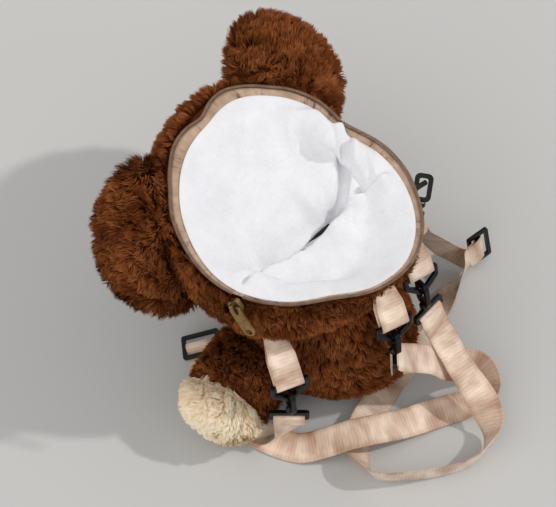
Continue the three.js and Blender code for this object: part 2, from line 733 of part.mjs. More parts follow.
function buildTab(anchor) {
  const bar = vector(anchor.ringBar).normalize();
  const root = vector(anchor.root);
  const end = vector(anchor.ring);
  const up = new THREE.Vector3().subVectors(root, end);
  const length = up.length();
  const frame = frameAt(end, bar, up);
  const turn = RING_BAR / 2 + TAB_THICK + 0.35;
  const slack = 1.2;
  const diagonal = turn * Math.SQRT1_2;
  const pairs = [
    [length, slack],
    [length * 0.45, turn],
    [0, turn],
    [-diagonal, diagonal],
    [-turn, 0],
    [-diagonal, -diagonal],
    [0, -turn],
    [length * 0.45, -turn],
    [length, -slack],
  ];
  const rows = frameRows(frame, bar, pairs, TAB_WIDTH);
  rows[0].width = TAB_ROOT_WIDTH;
  rows[rows.length - 1].width = TAB_ROOT_WIDTH;
  const solid = solidOf(strip(rows, TAB_THICK, 2)).subtract(bagOutline);
  addPiece(`tab_${anchor.name}`, geometryOf(solid), SATIN);
}

function polygon(points) {
  return new THREE.Shape(points.map(([x, y]) => new THREE.Vector2(x, y)));
}

function buildRing(anchor, frame) {
  const half = RING_BAR / 2;
  const inner = RING_HALF - RING_BAR;
  const shape = polygon([
    [-RING_HALF, half],
    [-RING_HALF, -9],
    [-2, -RING_DROP],
    [2, -RING_DROP],
    [RING_HALF, -9],
    [RING_HALF, half],
  ]);
  const hole = polygon([
    [-inner, -half],
    [-inner, -7.4],
    [0, RING_BAR + 1.1 - RING_DROP],
    [inner, -7.4],
    [inner, -half],
  ]);
  shape.holes.push(hole);
  addPiece(`ring_${anchor.name}`, plate(shape, -half, half), PLASTIC, frame);
}

function buildHook(anchor, frame) {
  const loop = roundedRectangle(-HOOK_HALF, HOOK_HALF, -HOOK_END, -HOOK_TOP, 4);
  const inner = HOOK_HALF - HOOK_BAR;
  loop.holes.push(roundedRectangle(-inner, inner, HOOK_BAR - HOOK_END, -HOOK_TOP - HOOK_BAR, 2));
  const link = plate(loop, -1.7, 1.7, 2).rotateY(Math.PI / 2);
  const knob = new THREE.SphereGeometry(KNOB_RADIUS, 8, 6).scale(1, 0.8, 1);
  knob.translate(0, GAP + KNOB_RADIUS * 0.8 - BASE_TOP, 0);
  addPiece(`hook_${anchor.name}`, geometryOf(solidOf(link).add(solidOf(knob))), PLASTIC, frame);
}

function buildBase(anchor, frame) {
  const low = BASE_TOP + 2 * BASE_BAR + BASE_SLOT;
  const shape = roundedRectangle(-RING_HALF, RING_HALF, -low, -BASE_TOP, 2);
  const half = WEB_WIDTH / 2 + 0.4;
  shape.holes.push(roundedRectangle(-half, half, BASE_BAR - low, -BASE_TOP - BASE_BAR, 0.5));
  addPiece(`base_${anchor.name}`, plate(shape, -1.4, 1.4, 2), PLASTIC, frame);
}

// Where the webbing folds over a swivel bar, starting with its sewn tail
function barFold(anchor, frame, tail) {
  const middle = -(BASE_TOP + 1.5 * BASE_BAR + BASE_SLOT);
  const turn = 2.75;
  const diagonal = turn * Math.SQRT1_2;
  const pairs = [
    [middle - tail, -turn + 0.5],
    [middle, -turn],
    [middle + diagonal, -diagonal],
    [middle + turn, 0],
    [middle + diagonal, diagonal],
    [middle, turn],
    [middle - 6, turn + 0.6],
  ];
  return frameRows(frame, vector(anchor.baseBar).normalize(), pairs, WEB_WIDTH);
}

// Where the webbing turns back round the middle bar of an adjuster
function glideTurn(glide, frame) {
  const turn = 2.9;
  const diagonal = turn * Math.SQRT1_2;
  const pairs = [
    [-16, -4.7],
    [-9, -4.8],
    [-4.6, -4.2],
    [0, -turn],
    [diagonal, -diagonal],
    [turn, 0],
    [diagonal, diagonal],
    [0, turn],
    [-2.2, 2.3],
    [-4.6, -0.1],
    [-7.2, -2.6],
    [-9.6, -2.9],
    [-16, -2.8],
  ];
  return frameRows(frame, vector(glide.across).normalize(), pairs, WEB_WIDTH);
}

function glideFrame(glide) {
  return frameAt(vector(glide.at), vector(glide.across).negate(), vector(glide.along));
}

function buildGlide(name, frame) {
  const half = GLIDE_MIDDLE / 2 + GLIDE_SLOT + GLIDE_BAR;
  const side = WEB_WIDTH / 2 + 0.5;
  const shape = roundedRectangle(-side - GLIDE_BAR, side + GLIDE_BAR, -half, half, 2);
  for (const low of [-GLIDE_MIDDLE / 2 - GLIDE_SLOT, GLIDE_MIDDLE / 2]) {
    shape.holes.push(roundedRectangle(-side, side, low, low + GLIDE_SLOT, 0.5));
  }
  addPiece(name, plate(shape, -GLIDE_THICK / 2, GLIDE_THICK / 2, 2), PLASTIC, frame);
}

function buildHarness() {
  const frames = {};
  for (const anchor of ANCHORS) {
    frames[anchor.name] = anchorFrames(anchor);
    buildTab(anchor);
    buildRing(anchor, frames[anchor.name].ring);
    buildHook(anchor, frames[anchor.name].hook);
    buildBase(anchor, frames[anchor.name].base);
  }
  const fold = (name, tail) => {
    const anchor = ANCHORS.find((one) => one.name === name);
    return barFold(anchor, frames[name].base, tail);
  };
  const leftGlide = glideFrame(LEFT_GLIDE);
  const rightGlide = glideFrame(RIGHT_GLIDE);
  buildGlide("glide_left", leftGlide);
  buildGlide("glide_right", rightGlide);
  const left = [
    ...fold("back_left", 14),
    ...LEFT_OUT.map(floorRow),
    ...glideTurn(LEFT_GLIDE, leftGlide),
    ...LEFT_BACK.map(floorRow),
    ...fold("side_left", 8).reverse(),
  ];
  const right = [
    ...fold("back_right", 14),
    ...RIGHT_OUT.map(floorRow),
    ...glideTurn(RIGHT_GLIDE, rightGlide),
    ...RIGHT_BACK.map(floorRow),
    ...fold("side_right", 8).reverse(),
  ];
  addPiece("strap_left", strip(left, WEB_THICK, 2), SATIN);
  addPiece("strap_right", strip(right, WEB_THICK, 2), SATIN);
}

buildTorso();
buildHead();
buildLining();
buildZip();
buildSlider();
buildPull();
buildEars();
buildFace();
buildLegs();
buildHarness();

export default group;
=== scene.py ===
"""Looks of the plush animal backpack: pile, lining, zip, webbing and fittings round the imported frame.

Metres, +Z up, the animal faces -Y. Shapes that are easier to read in millimetres use MM.
"""
from math import ceil, cos, pi, radians, sin, sqrt

import bmesh
import bpy
import numpy as np
from numpy.linalg import norm
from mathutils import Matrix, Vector
from mathutils.bvhtree import BVHTree
from mathutils.kdtree import KDTree


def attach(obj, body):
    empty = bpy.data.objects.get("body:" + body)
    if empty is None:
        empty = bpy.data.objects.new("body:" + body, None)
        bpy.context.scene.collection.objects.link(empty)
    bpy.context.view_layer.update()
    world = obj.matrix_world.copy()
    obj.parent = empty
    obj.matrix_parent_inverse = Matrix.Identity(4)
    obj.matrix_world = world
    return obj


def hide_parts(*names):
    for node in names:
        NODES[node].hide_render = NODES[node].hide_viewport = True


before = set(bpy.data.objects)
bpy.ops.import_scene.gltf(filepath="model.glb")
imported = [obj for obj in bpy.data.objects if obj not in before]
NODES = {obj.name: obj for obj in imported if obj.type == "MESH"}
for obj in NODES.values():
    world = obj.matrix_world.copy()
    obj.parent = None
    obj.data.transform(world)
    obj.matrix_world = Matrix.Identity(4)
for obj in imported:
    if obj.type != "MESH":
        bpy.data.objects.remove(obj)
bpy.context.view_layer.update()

SCENE = bpy.context.scene
MM = 0.001
BAG = "bag"
PULL = "zip_pull"
WHITE = (255, 255, 255)


# Node material helpers

def linear(red, green, blue):
    """An sRGB colour of 0 to 255 as a linear one with alpha."""
    values = [v / 255 for v in (red, green, blue)]
    out = [v / 12.92 if v <= 0.04045 else ((v + 0.055) / 1.055) ** 2.4 for v in values]
    return (*out, 1.0)


class Nodes:
    """Short calls for one material's node tree."""

    def __init__(self, name):
        self.material = bpy.data.materials.new(name)
        self.material.use_nodes = True
        self.tree = self.material.node_tree
        self.shader = self.tree.nodes["Principled BSDF"]

    def give(self, socket, value):
        """Sets a socket, or links it to another node's socket."""
        if isinstance(value, bpy.types.NodeSocket):
            self.tree.links.new(value, socket)
        else:
            socket.default_value = value

    def add(self, kind, **values):
        node = self.tree.nodes.new("ShaderNode" + kind)
        for key, value in values.items():
            if hasattr(node, key):
                setattr(node, key, value)
            else:
                self.give(node.inputs[key], value)
        return node

    def coordinates(self):
        return self.add("TexCoord").outputs["Object"]

    def noise(self, vector, scale, detail=2.0, roughness=0.5):
        node = self.add("TexNoise", Vector=vector, Scale=scale, Detail=detail, Roughness=roughness)
        return node.outputs["Fac"]

    def ramp(self, factor, *stops):
        node = self.add("ValToRGB", Fac=factor)
        items = node.color_ramp.elements
        while len(items) < len(stops):
            items.new(0.5)
        for item, (place, colour) in zip(items, stops):
            item.position = place
            item.color = linear(*colour)
        return node.outputs["Color"]

    def mottled(self, vector, scale, detail, low, high):
        """A soft uneven mix of two colours."""
        return self.ramp(self.noise(vector, scale, detail), (0.3, low), (0.7, high))

    def maths(self, operation, *values):
        node = self.add("Math", operation=operation)
        for socket, value in zip(node.inputs, values):
            self.give(socket, value)
        return node.outputs[0]

    def weighted(self, *terms):
        """The sum of some values, each times its weight."""
        total, *others = [self.maths("MULTIPLY", value, weight) for value, weight in terms]
        for part in others:
            total = self.maths("ADD", total, part)
        return total

    def wave(self, value, pitch):
        return self.maths("SINE", self.maths("MULTIPLY", value, 2 * pi / pitch))

    def stretched(self, vector, scale, turn=(0, 0, 0)):
        return self.add("Mapping", Vector=vector, Scale=scale, Rotation=turn).outputs[0]

    def split(self, vector):
        return self.add("SeparateXYZ", Vector=vector).outputs

    def run(self):
        """How far along and across a strip of cloth a point lies."""
        return self.add("UVMap", uv_map="run").outputs[0]

    def tinted(self, first, second):
        """One colour times another."""
        node = self.add("Mix", data_type="RGBA", blend_type="MULTIPLY")
        for place, value in ((0, 1.0), (6, first), (7, second)):
            self.give(node.inputs[place], value)
        return node.outputs[2]

    def bump(self, height, strength, distance):
        node = self.add("Bump", Height=height, Strength=strength, Distance=distance)
        self.set(Normal=node.outputs["Normal"])

    def colour(self, socket):
        self.set(Base_Color=socket)

    def set(self, **values):
        for key, value in values.items():
            self.give(self.shader.inputs[key.replace("_", " ")], value)


# How far single locks and whole clumps differ in tone
LOCK_SPREAD = 0.26
CLUMP_SPREAD = 0.24

# Woven cloth: threads to the metre, and how its two sets of threads run
THREADS = 1400
THREAD_STRETCHES = ((1, 0.12, 0.3), (0.12, 1, 0.3))
WEAVE_TURN = (0.2, 0.15, 0.6)
GRAIN_DARK = (249, 249, 250)

# Zip tape: the pitch of its ribs, and its creases, which carry painted shade
TAPE_RIB = 0.8 * MM
CREASE_SCALE = (190, 40, 1)
CREASE_SHADE = (142, 128, 116)

# Webbing: pitches of its ribs, threads and stripes, the scales of its painted glints and painted lustre, and
# its woven edge
WEB_RIB = 1.3 * MM
WEB_THREAD = 0.9 * MM
WEB_STRIPE = 2.9 * MM
GLINT_SCALE = (1300, 110, 1)
PAINTED_LUSTRE_SCALE = (55, 30, 1)
EDGE_START = 0.0113
EDGE_FULL = 0.0119


def fur_material(name, stops, patch_low, patch_high, sheen):
    """Pile: painted shade at the root and painted light towards the tip, with uneven locks and worn patches.
    """
    nodes = Nodes(name)
    pile = nodes.add("Attribute", attribute_name="pile").outputs["Vector"]
    height, lock, clump = nodes.split(pile)
    uneven = nodes.maths("MULTIPLY_ADD", lock, LOCK_SPREAD, -LOCK_SPREAD / 2)
    shift = nodes.maths("MULTIPLY_ADD", clump, CLUMP_SPREAD, -CLUMP_SPREAD / 2)
    # The ramp paints shade deep in the pile and light towards the tips
    base = nodes.ramp(nodes.maths("ADD", nodes.maths("ADD", height, uneven), shift), *stops)
    worn = nodes.noise(nodes.coordinates(), scale=34, detail=3)
    patches = nodes.ramp(worn, (0.36, patch_low), (0.62, patch_high))
    nodes.colour(nodes.tinted(base, patches))
    nodes.set(Roughness=0.85, Sheen_Weight=0.2, Sheen_Roughness=0.5, Sheen_Tint=linear(*sheen))
    nodes.set(Specular_IOR_Level=0.0)
    return nodes.material


def cloth_material(name, low, high, strength, roughness, sheen):
    """A plain weave: crossed uneven threads in the bump and soft unevenness in the colour."""
    nodes = Nodes(name)
    where = nodes.coordinates()
    threads = []
    for stretch in THREAD_STRETCHES:
        threads.append(nodes.noise(nodes.stretched(where, stretch, WEAVE_TURN), THREADS))
    weave = nodes.maths("ADD", *threads)
    soft = nodes.mottled(where, 55, 4, low, high)
    grain = nodes.ramp(nodes.maths("MULTIPLY", weave, 0.5), (0.4, GRAIN_DARK), (0.56, WHITE))
    nodes.colour(nodes.tinted(soft, grain))
    nodes.bump(weave, strength, distance=0.0005)
    nodes.set(Roughness=roughness, Sheen_Weight=sheen, Specular_IOR_Level=0.25)
    return nodes.material


def tape_material(name, low, high):
    """Woven tape: fine ribs, uneven colour and painted shade in the creases where it is gathered."""
    nodes = Nodes(name)
    run = nodes.run()
    along, _, _ = nodes.split(run)
    ribs = nodes.wave(along, TAPE_RIB)
    crease = nodes.noise(nodes.stretched(run, CREASE_SCALE), scale=1.0, detail=3, roughness=0.6)
    # Painted shade along the creases
    crease_shade = nodes.ramp(crease, (0.3, CREASE_SHADE), (0.45, WHITE))
    face = nodes.mottled(nodes.coordinates(), 90, 3, low, high)
    nodes.colour(nodes.tinted(face, crease_shade))
    nodes.bump(nodes.weighted((ribs, 0.3), (crease, 2.0)), strength=0.5, distance=0.0005)
    nodes.set(Roughness=0.55, Sheen_Weight=0.15, Specular_IOR_Level=0.35)
    return nodes.material


def webbing_material(name, low, high, edge):
    """Ribbed webbing with a glossy weave: fine uneven ribs across it, long threads, woven edges, and painted
    glints and broad painted highlights in its colour.
    """
    nodes = Nodes(name)
    run = nodes.run()
    along, across, _ = nodes.split(run)
    ribs = nodes.wave(along, WEB_RIB)
    lines = nodes.wave(across, WEB_THREAD)
    stripes = nodes.wave(along, WEB_STRIPE)
    glint = nodes.noise(nodes.stretched(run, GLINT_SCALE), scale=1.0, detail=3, roughness=0.65)
    painted_lustre = nodes.noise(nodes.stretched(run, PAINTED_LUSTRE_SCALE), scale=1.0)
    # Painted sheen: glints, stripes and broad painted highlights set the colour; the glint noise also
    # roughens the bump
    painted_sheen = nodes.weighted((glint, 0.17), (stripes, 0.014), (painted_lustre, 0.65))
    face = nodes.ramp(painted_sheen, (0.29, low), (0.54, high))
    rim = nodes.ramp(nodes.maths("ABSOLUTE", across), (EDGE_START, WHITE), (EDGE_FULL, edge))
    nodes.colour(nodes.tinted(face, rim))
    height = nodes.weighted((ribs, 0.5), (lines, 0.25), (glint, 1.6))
    nodes.bump(height, strength=0.4, distance=0.0003)
    nodes.set(Roughness=0.33, Sheen_Weight=0.35, Sheen_Roughness=0.35, Specular_IOR_Level=0.7)
    return nodes.material


def hard_material(name, low, high, mottle, detail, grain, strength, **values):
    """Plastic or metal, softly mottled, with a faint grain."""
    nodes = Nodes(name)
    where = nodes.coordinates()
    nodes.colour(nodes.mottled(where, mottle, detail, low, high))
    nodes.bump(nodes.noise(where, grain), strength, distance=0.0002)
    nodes.set(**values)
    return nodes.material


# Pile ramps: from painted shade at the root to painted light at the tip
BROWN = fur_material(
    "brown_pile",
    [(0.0, (50, 23, 11)), (0.35, (88, 45, 23)), (0.72, (130, 74, 41)), (1.0, (166, 104, 62))],
    patch_low=(178, 164, 154),
    patch_high=(255, 250, 244),
    sheen=(190, 120, 72),
)
CREAM = fur_material(
    "cream_pile",
    [(0.0, (240, 206, 162)), (0.4, (253, 230, 196)), (0.75, (255, 241, 215)), (1.0, (255, 248, 232))],
    patch_low=(246, 236, 222),
    patch_high=(255, 254, 250),
    sheen=(255, 240, 216),
)
COTTON = cloth_material(
    "white_cotton", (231, 230, 233), (239, 239, 241), strength=0.45, roughness=0.85, sheen=0.1
)
NOSE = cloth_material("nose_cloth", (34, 20, 14), (52, 32, 22), strength=0.3, roughness=0.5, sheen=0.2)
TAPE = tape_material("zip_tape", (168, 137, 113), (204, 173, 148))
# The webbing's colour runs from a darker tone up to a painted highlight
WEBBING = webbing_material("satin_webbing", (178, 138, 111), (252, 230, 208), edge=(222, 208, 196))
MOULDED = dict(mottle=160, detail=2, grain=900, strength=0.12, Specular_IOR_Level=0.3)
CAST = dict(mottle=240, detail=4, grain=1500, strength=0.08, Metallic=0.9)
PLASTIC = hard_material("black_plastic", (9, 9, 10), (15, 15, 16), Roughness=0.2, **MOULDED)
BEAD = hard_material("bead", (14, 10, 9), (20, 15, 13), Roughness=0.12, **MOULDED)
COIL = hard_material("zip_coil", (118, 92, 74), (146, 118, 98), Roughness=0.5, **MOULDED)
BRASS = hard_material("antique_brass", (128, 98, 58), (166, 134, 88), Roughness=0.3, **CAST)


# Mesh helpers

WELD_GRID = 2e5
TINY = 1e-12
UP = np.array([0.0, 0.0, 1.0])
LEVEL = np.array([1.0, 1.0, 0.0])


def mesh_object(name, points, faces, smooth=True):
    """A new object from an array of points and an array of triangles or quads."""
    mesh = bpy.data.meshes.new(name)
    mesh.from_pydata(points.tolist(), [], faces.tolist(), shade_flat=not smooth)
    obj = bpy.data.objects.new(name, mesh)
    SCENE.collection.objects.link(obj)
    return obj


def with_values(thing, **values):
    for key, value in values.items():
        setattr(thing, key, value)
    return thing


def dress(obj, material, node=None, body=BAG):
    """Gives a piece its material and body, and hides the node that it stands for."""
    obj.data.materials.clear()
    obj.data.materials.append(material)
    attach(obj, body)
    if node:
        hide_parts(node)


def applied(obj):
    """Replaces the object's mesh by what its modifiers make of it."""
    shown = obj.evaluated_get(bpy.context.evaluated_depsgraph_get())
    mesh = bpy.data.meshes.new_from_object(shown)
    obj.modifiers.clear()
    old, obj.data = obj.data, mesh
    bpy.data.meshes.remove(old)
    return obj


def read(values, key, kind=np.float32):
    out = np.empty(len(values) * 3, kind)
    values.foreach_get(key, out)
    return out.reshape(-1, 3)


def points_of(mesh):
    return read(mesh.vertices, "co").astype(float)


def normals_of(mesh):
    return read(mesh.vertex_normals, "vector").astype(float)


def triangles_of(mesh):
    mesh.calc_loop_triangles()
    return read(mesh.loop_triangles, "vertices", np.int32)


def unit(vectors):
    return vectors / np.maximum(norm(vectors, axis=-1, keepdims=True), TINY)


def smoothstep(share):
    """0 to 1 with a soft start and end."""
    return share * share * (3 - 2 * share)


def moved(mesh, points):
    mesh.vertices.foreach_set("co", points.astype(np.float32).ravel())
    mesh.update()


def remeshed(obj, voxel, passes):
    """Rebuilds the object from even voxels and smooths it."""
    even, soft = obj.modifiers.new("even", "REMESH"), obj.modifiers.new("soft", "SMOOTH")
    with_values(even, mode="VOXEL", voxel_size=voxel, use_smooth_shade=True)
    with_values(soft, factor=0.5, iterations=passes)
    return applied(obj)


def closed_ends(mesh):
    """Fills a strip's open ends and turns its faces outwards."""
    work = bmesh.new()
    work.from_mesh(mesh)
    bmesh.ops.holes_fill(work, edges=[edge for edge in work.edges if edge.is_boundary], sides=0)
    bmesh.ops.recalc_face_normals(work, faces=work.faces)
    work.to_mesh(mesh)
    work.free()


def flat_map(mesh, name, places):
    """A named map of the mesh, with a flat place for each corner of its faces."""
    mesh.uv_layers.new(name=name).uv.foreach_set("vector", places.astype(np.float32).ravel())


def keep_pile(mesh, values):
    """Keeps the height, and the tones of the lock and its clump, at each point."""
    mesh.attributes.new("pile", "FLOAT_VECTOR", "POINT").data.foreach_set("vector", values.ravel())


def carried_on(places):
    """The places, with one more at each end in a straight line."""
    return np.concatenate([2 * places[:1] - places[1:2], places, 2 * places[-1:] - places[-2:-1]])


def run_along(path):
    """The length of the way to each point of a path."""
    return np.concatenate([[0], np.cumsum(norm(np.diff(path, axis=0), axis=1))])


def welded(node):
    """The CAD node's points and triangles with shared corners."""
    mesh = NODES[node].data
    points = points_of(mesh)
    cells = np.round(points * WELD_GRID)
    _, first, back = np.unique(cells, axis=0, return_index=True, return_inverse=True)
    faces = back.reshape(-1)[triangles_of(mesh)]
    a, b, c = faces.T
    return points[first], faces[(a != b) & (b != c) & (c != a)]


def tree_of(names):
    """One search tree over the CAD solids of these nodes."""
    points, faces, start = [], [], 0
    for name in names:
        own, triangles = welded(name)
        points.append(own)
        faces.append(triangles + start)
        start += len(own)
    return BVHTree.FromPolygons(np.concatenate(points).tolist(), np.concatenate(faces).tolist())


def distances(tree, places, reach):
    """How far each place is from the tree's solids, up to a reach."""
    return np.array([tree.find_nearest(place, reach)[3] or reach for place in places.tolist()])


# Plush pieces

VOXEL = 4 * MM
SKIN_PASSES = 5
PILE_DEPTH = 7 * MM
CREAM_DEPTH = 4.6 * MM
EAR_FILL = 10 * MM
EAR_FILL_REACH = 30 * MM
# The backing's place on the pile's ramp: painted shade, so that gaps between locks look dark
BACKING_SHADE_TONES = (0.42, 0.5, 0.5)

# The pile takes no more than a share of a piece's thickness, which is measured from just inside
DEPTH_SHARE = 0.4
PROBE_IN = 0.5 * MM
PROBE_REACH = 4 * PILE_DEPTH

# Free room above the skin: too little for the pile, the more that it takes to stand in full, and enough
ROOM_SHUT = 1 * MM
ROOM_OPENS = 3 * MM
ROOM_WANTED = 9 * MM

# Plush pieces: node, locks, whether it is cream, and how far tips pass the solid and lean, in mm
PLUSH_ROWS = [
    ("torso", 31000, False, 2.2, 4.8),
    ("head_front", 36000, False, 2.4, 5.5),
    ("head_back", 24000, False, 3.6, 5.0),
    ("ear_left", 22000, False, 3.8, 6.0),
    ("ear_right", 24000, False, 3.8, 6.0),
    ("leg_left", 13000, False, 2.4, 4.6),
    ("leg_right", 11000, False, 2.4, 5.5),
    ("foot_left", 15000, True, 2.8, 3.6),
    ("foot_right", 9500, True, 1.4, 2.6),
    ("muzzle", 7000, True, 1.2, 3.5),
]
PLUSH = [dict(zip(("node", "locks", "cream", "over", "lean"), row)) for row in PLUSH_ROWS]
PLUSH_NODES = [row["node"] for row in PLUSH]
ZIP_CLOTH = ["zip_tape_front", "zip_tape_back", "zip_coil_front", "zip_coil_back"]
CLEAR_OF_FITTINGS = 1.1 * MM

# A lock: its width, lean and rise, the sink of its root, its bow and ridge, and its least heights
LOCK_HALF = 0.44 * MM
LOCK_WIDTHS = (0.7, 1.3)
LOCK_LEANS = (0.7, 1.7)
LOCK_RISES = (-0.9, 1.2)
LEAST_LEAN = 0.3
ROOM_USED = 0.7
ROOT_SINK = 0.4 * MM
LOCK_BOW = 0.2
LOCK_JITTER = 0.4 * MM
CROWDED_SHARE = 0.45
RIDGE_SHARE = 0.6
TIP_FLOOR = 0.8 * MM
MIDDLE_FLOOR = 1.2 * MM

# Its root, two sides with a ridge between them, and tip: faces, heights on the ramp from painted shade at the
# root to painted light at the tip, with the ridge a little lighter, and flat places
LOCK_FACES = np.array([[0, 2, 1], [0, 3, 2], [4, 1, 2], [4, 2, 3]])
LOCK_TONES = [0.0, 0.55, 0.62, 0.55, 1.0]
LOCK_FLAT = np.array([[0.5, 0.06], [0.06, 0.5], [0.5, 0.5], [0.94, 0.5], [0.5, 0.94]])

# How much of the light on a lock follows the body, and how much its own form
BODY_LIGHT = 0.8
OWN_LIGHT = 0.35

# Clumps of locks, and the seam at the back of the zip that pulls the pile in
LOCKS_IN_CLUMP = 32
CLUMP_PULLS = (0.1, 0.55)
SEAM_REACH = 17 * MM
SEAM_GAIN = 1.4
SEAM_SINK = 0.75
SEAM_CALM = 0.6

# How the pile lies: away from the head and down on an ear, down and outwards elsewhere, and in swirls
EAR_AWAY = 1.2
EAR_FALL = 0.4
BODY_OUT = 0.6
PILE_SWIRLS = [(0.9, 70 * MM), (0.45, 24 * MM), (1.0, 10 * MM)]
SWIRL_WAVES = 5
SWIRL_LENGTHS = (0.7, 1.6)
SWIRL_CALM = 3


def swirl(points, draw, wave):
    """A smooth vector field that turns over about one wave length."""
    field = np.zeros_like(points)
    for _ in range(SWIRL_WAVES):
        turn = draw.normal(size=3)
        turn *= 2 * pi / (wave * draw.uniform(*SWIRL_LENGTHS)) / norm(turn)
        phase = draw.uniform(0, 2 * pi, 3)[0]
        side = draw.normal(size=3)
        field += np.sin(points @ turn + phase)[:, None] * side
    return field / SWIRL_CALM


def filled_out(outer, normals):
    """Swells an ear beside the head, so that no groove shows where it is sewn on."""
    far = distances(tree_of(["head_front"]), outer, EAR_FILL_REACH)
    return outer + normals * (EAR_FILL * (1 - far / EAR_FILL_REACH))[:, None]


def plush_skin(row):
    """The backing of one plush piece: a smooth body drawn in under its pile, with how deep
    the pile stands and how much free room it has at each point."""
    node = row["node"]
    skin = remeshed(mesh_object(f"{node}_plush", *welded(node)), VOXEL, SKIN_PASSES)
    outer = points_of(skin.data)
    normals = normals_of(skin.data)
    if node.startswith("ear"):
        outer = filled_out(outer, normals)
    full_depth = CREAM_DEPTH if row["cream"] else PILE_DEPTH
    others = tree_of([name for name in NODES if name != node])
    itself = BVHTree.FromPolygons(outer.tolist(), triangles_of(skin.data).tolist())
    depth = np.empty(len(outer))
    room = np.empty(len(outer))
    for k, (point, normal) in enumerate(zip(outer, normals)):
        place, way = Vector(point), Vector(normal)
        hit = others.ray_cast(place, way, ROOM_WANTED)[3]
        room[k] = ROOM_WANTED if hit is None else hit
        if point[2] + normal[2] * ROOM_WANTED < 0 and normal[2] < 0:
            room[k] = min(room[k], point[2] / -normal[2])
        thick = itself.ray_cast(place - way * PROBE_IN, -way, PROBE_REACH)[3]
        depth[k] = min(full_depth, DEPTH_SHARE * (PROBE_REACH if thick is None else thick))
    open_share = np.clip((room - ROOM_SHUT) / ROOM_OPENS, 0, 1)
    depth *= open_share
    moved(skin.data, outer - normals * depth[:, None])
    # The backing takes painted shade from low on the pile's ramp
    keep_pile(skin.data, np.full(outer.shape, BACKING_SHADE_TONES, np.float32))
    return skin, outer, normals, depth, room, open_share


def flow_of(row, places, normal, outer, draw):
    """The way that the pile lies at each place, along the skin."""
    if row["node"].startswith("ear"):
        head = points_of(NODES["head_front"].data).mean(axis=0)
        flow = EAR_AWAY * unit(outer.mean(axis=0) - head) - EAR_FALL * UP
    else:
        flow = BODY_OUT * unit(places * LEVEL) - UP
    for share, wave in PILE_SWIRLS:
        flow = flow + share * swirl(places, draw, wave)
    return unit(flow - normal * np.einsum("nk,nk->n", flow, normal)[:, None])


def gathered_tips(tip, draw):
    """Draws neighbouring tips together into clumps, and numbers each lock's clump."""
    size = len(tip)
    seeds = draw.choice(size, size // LOCKS_IN_CLUMP, replace=False)
    tree = KDTree(len(seeds))
    for k, seed in enumerate(seeds):
        tree.insert(tip[seed], k)
    tree.balance()
    nearest = np.array([tree.find(place)[1] for place in tip])
    pull = draw.uniform(*CLUMP_PULLS, size)[:, None]
    return tip + (tip[seeds[nearest]] - tip) * pull, nearest


def clear_of(tree, places):
    """True for each place that keeps clear of the fittings, straps and lining."""
    return np.array([tree.find_nearest(place, CLEAR_OF_FITTINGS)[0] is None for place in places.tolist()])


def seam_share(places):
    """How close each place is to the back of the zip, where the seam pulls the pile in: 1 to 0."""
    far = distances(tree_of(["zip_coil_back"]), places, SEAM_REACH)
    return smoothstep(np.clip(SEAM_GAIN * (1 - far / SEAM_REACH), 0, 1))


def scattered(row, faces, outer, open_share, draw):
    """A function that reads any values of the points at random places on the open faces."""
    first, second, third = (outer[faces[:, k]] for k in range(3))
    area = norm(np.cross(second - first, third - first), axis=1)
    share = area * open_share[faces].min(axis=1)
    chosen = draw.choice(len(faces), row["locks"], p=share / share.sum())
    u, v = draw.random(row["locks"]), draw.random(row["locks"])
    flip = u + v > 1
    u[flip], v[flip] = 1 - u[flip], 1 - v[flip]
    weights = np.stack([1 - u - v, u, v], axis=1)
    return lambda values: np.einsum("nk,nk...->n...", weights, values[faces[chosen]])


def lock_mesh(name, root, middle, tip, normal, clump, draw):
    """Each lock as a ridged blade, with its tones and a flat place of its own."""
    size = len(root)
    side = unit(np.cross(unit(tip - root), normal))
    wide = LOCK_HALF * draw.uniform(*LOCK_WIDTHS, size)[:, None]
    ridge = middle + RIDGE_SHARE * wide * normal
    points = np.stack([root, middle - wide * side, ridge, middle + wide * side, tip], axis=1)
    faces = np.arange(size)[:, None, None] * len(LOCK_TONES) + LOCK_FACES
    fur = mesh_object(name, points.reshape(-1, 3), faces.reshape(-1, 3))
    own = normals_of(fur.data).reshape(points.shape)
    own *= np.sign(np.einsum("npk,nk->np", own, normal) + TINY)[..., None]
    shared = unit(BODY_LIGHT * normal[:, None] + OWN_LIGHT * own)
    fur.data.normals_split_custom_set_from_vertices(shared.reshape(-1, 3).tolist())

    values = np.empty(points.shape, np.float32)
    values[:, :, 0] = LOCK_TONES
    values[:, :, 1] = draw.random(size)[:, None]
    values[:, :, 2] = draw.random(clump.max() + 1)[clump][:, None]
    keep_pile(fur.data, values)

    cells = ceil(sqrt(size))
    cell = np.stack([np.arange(size) % cells, np.arange(size) // cells], axis=1) / cells
    flat_map(fur.data, "OFBake", cell[:, None, None] + LOCK_FLAT[LOCK_FACES] / cells)
    return fur


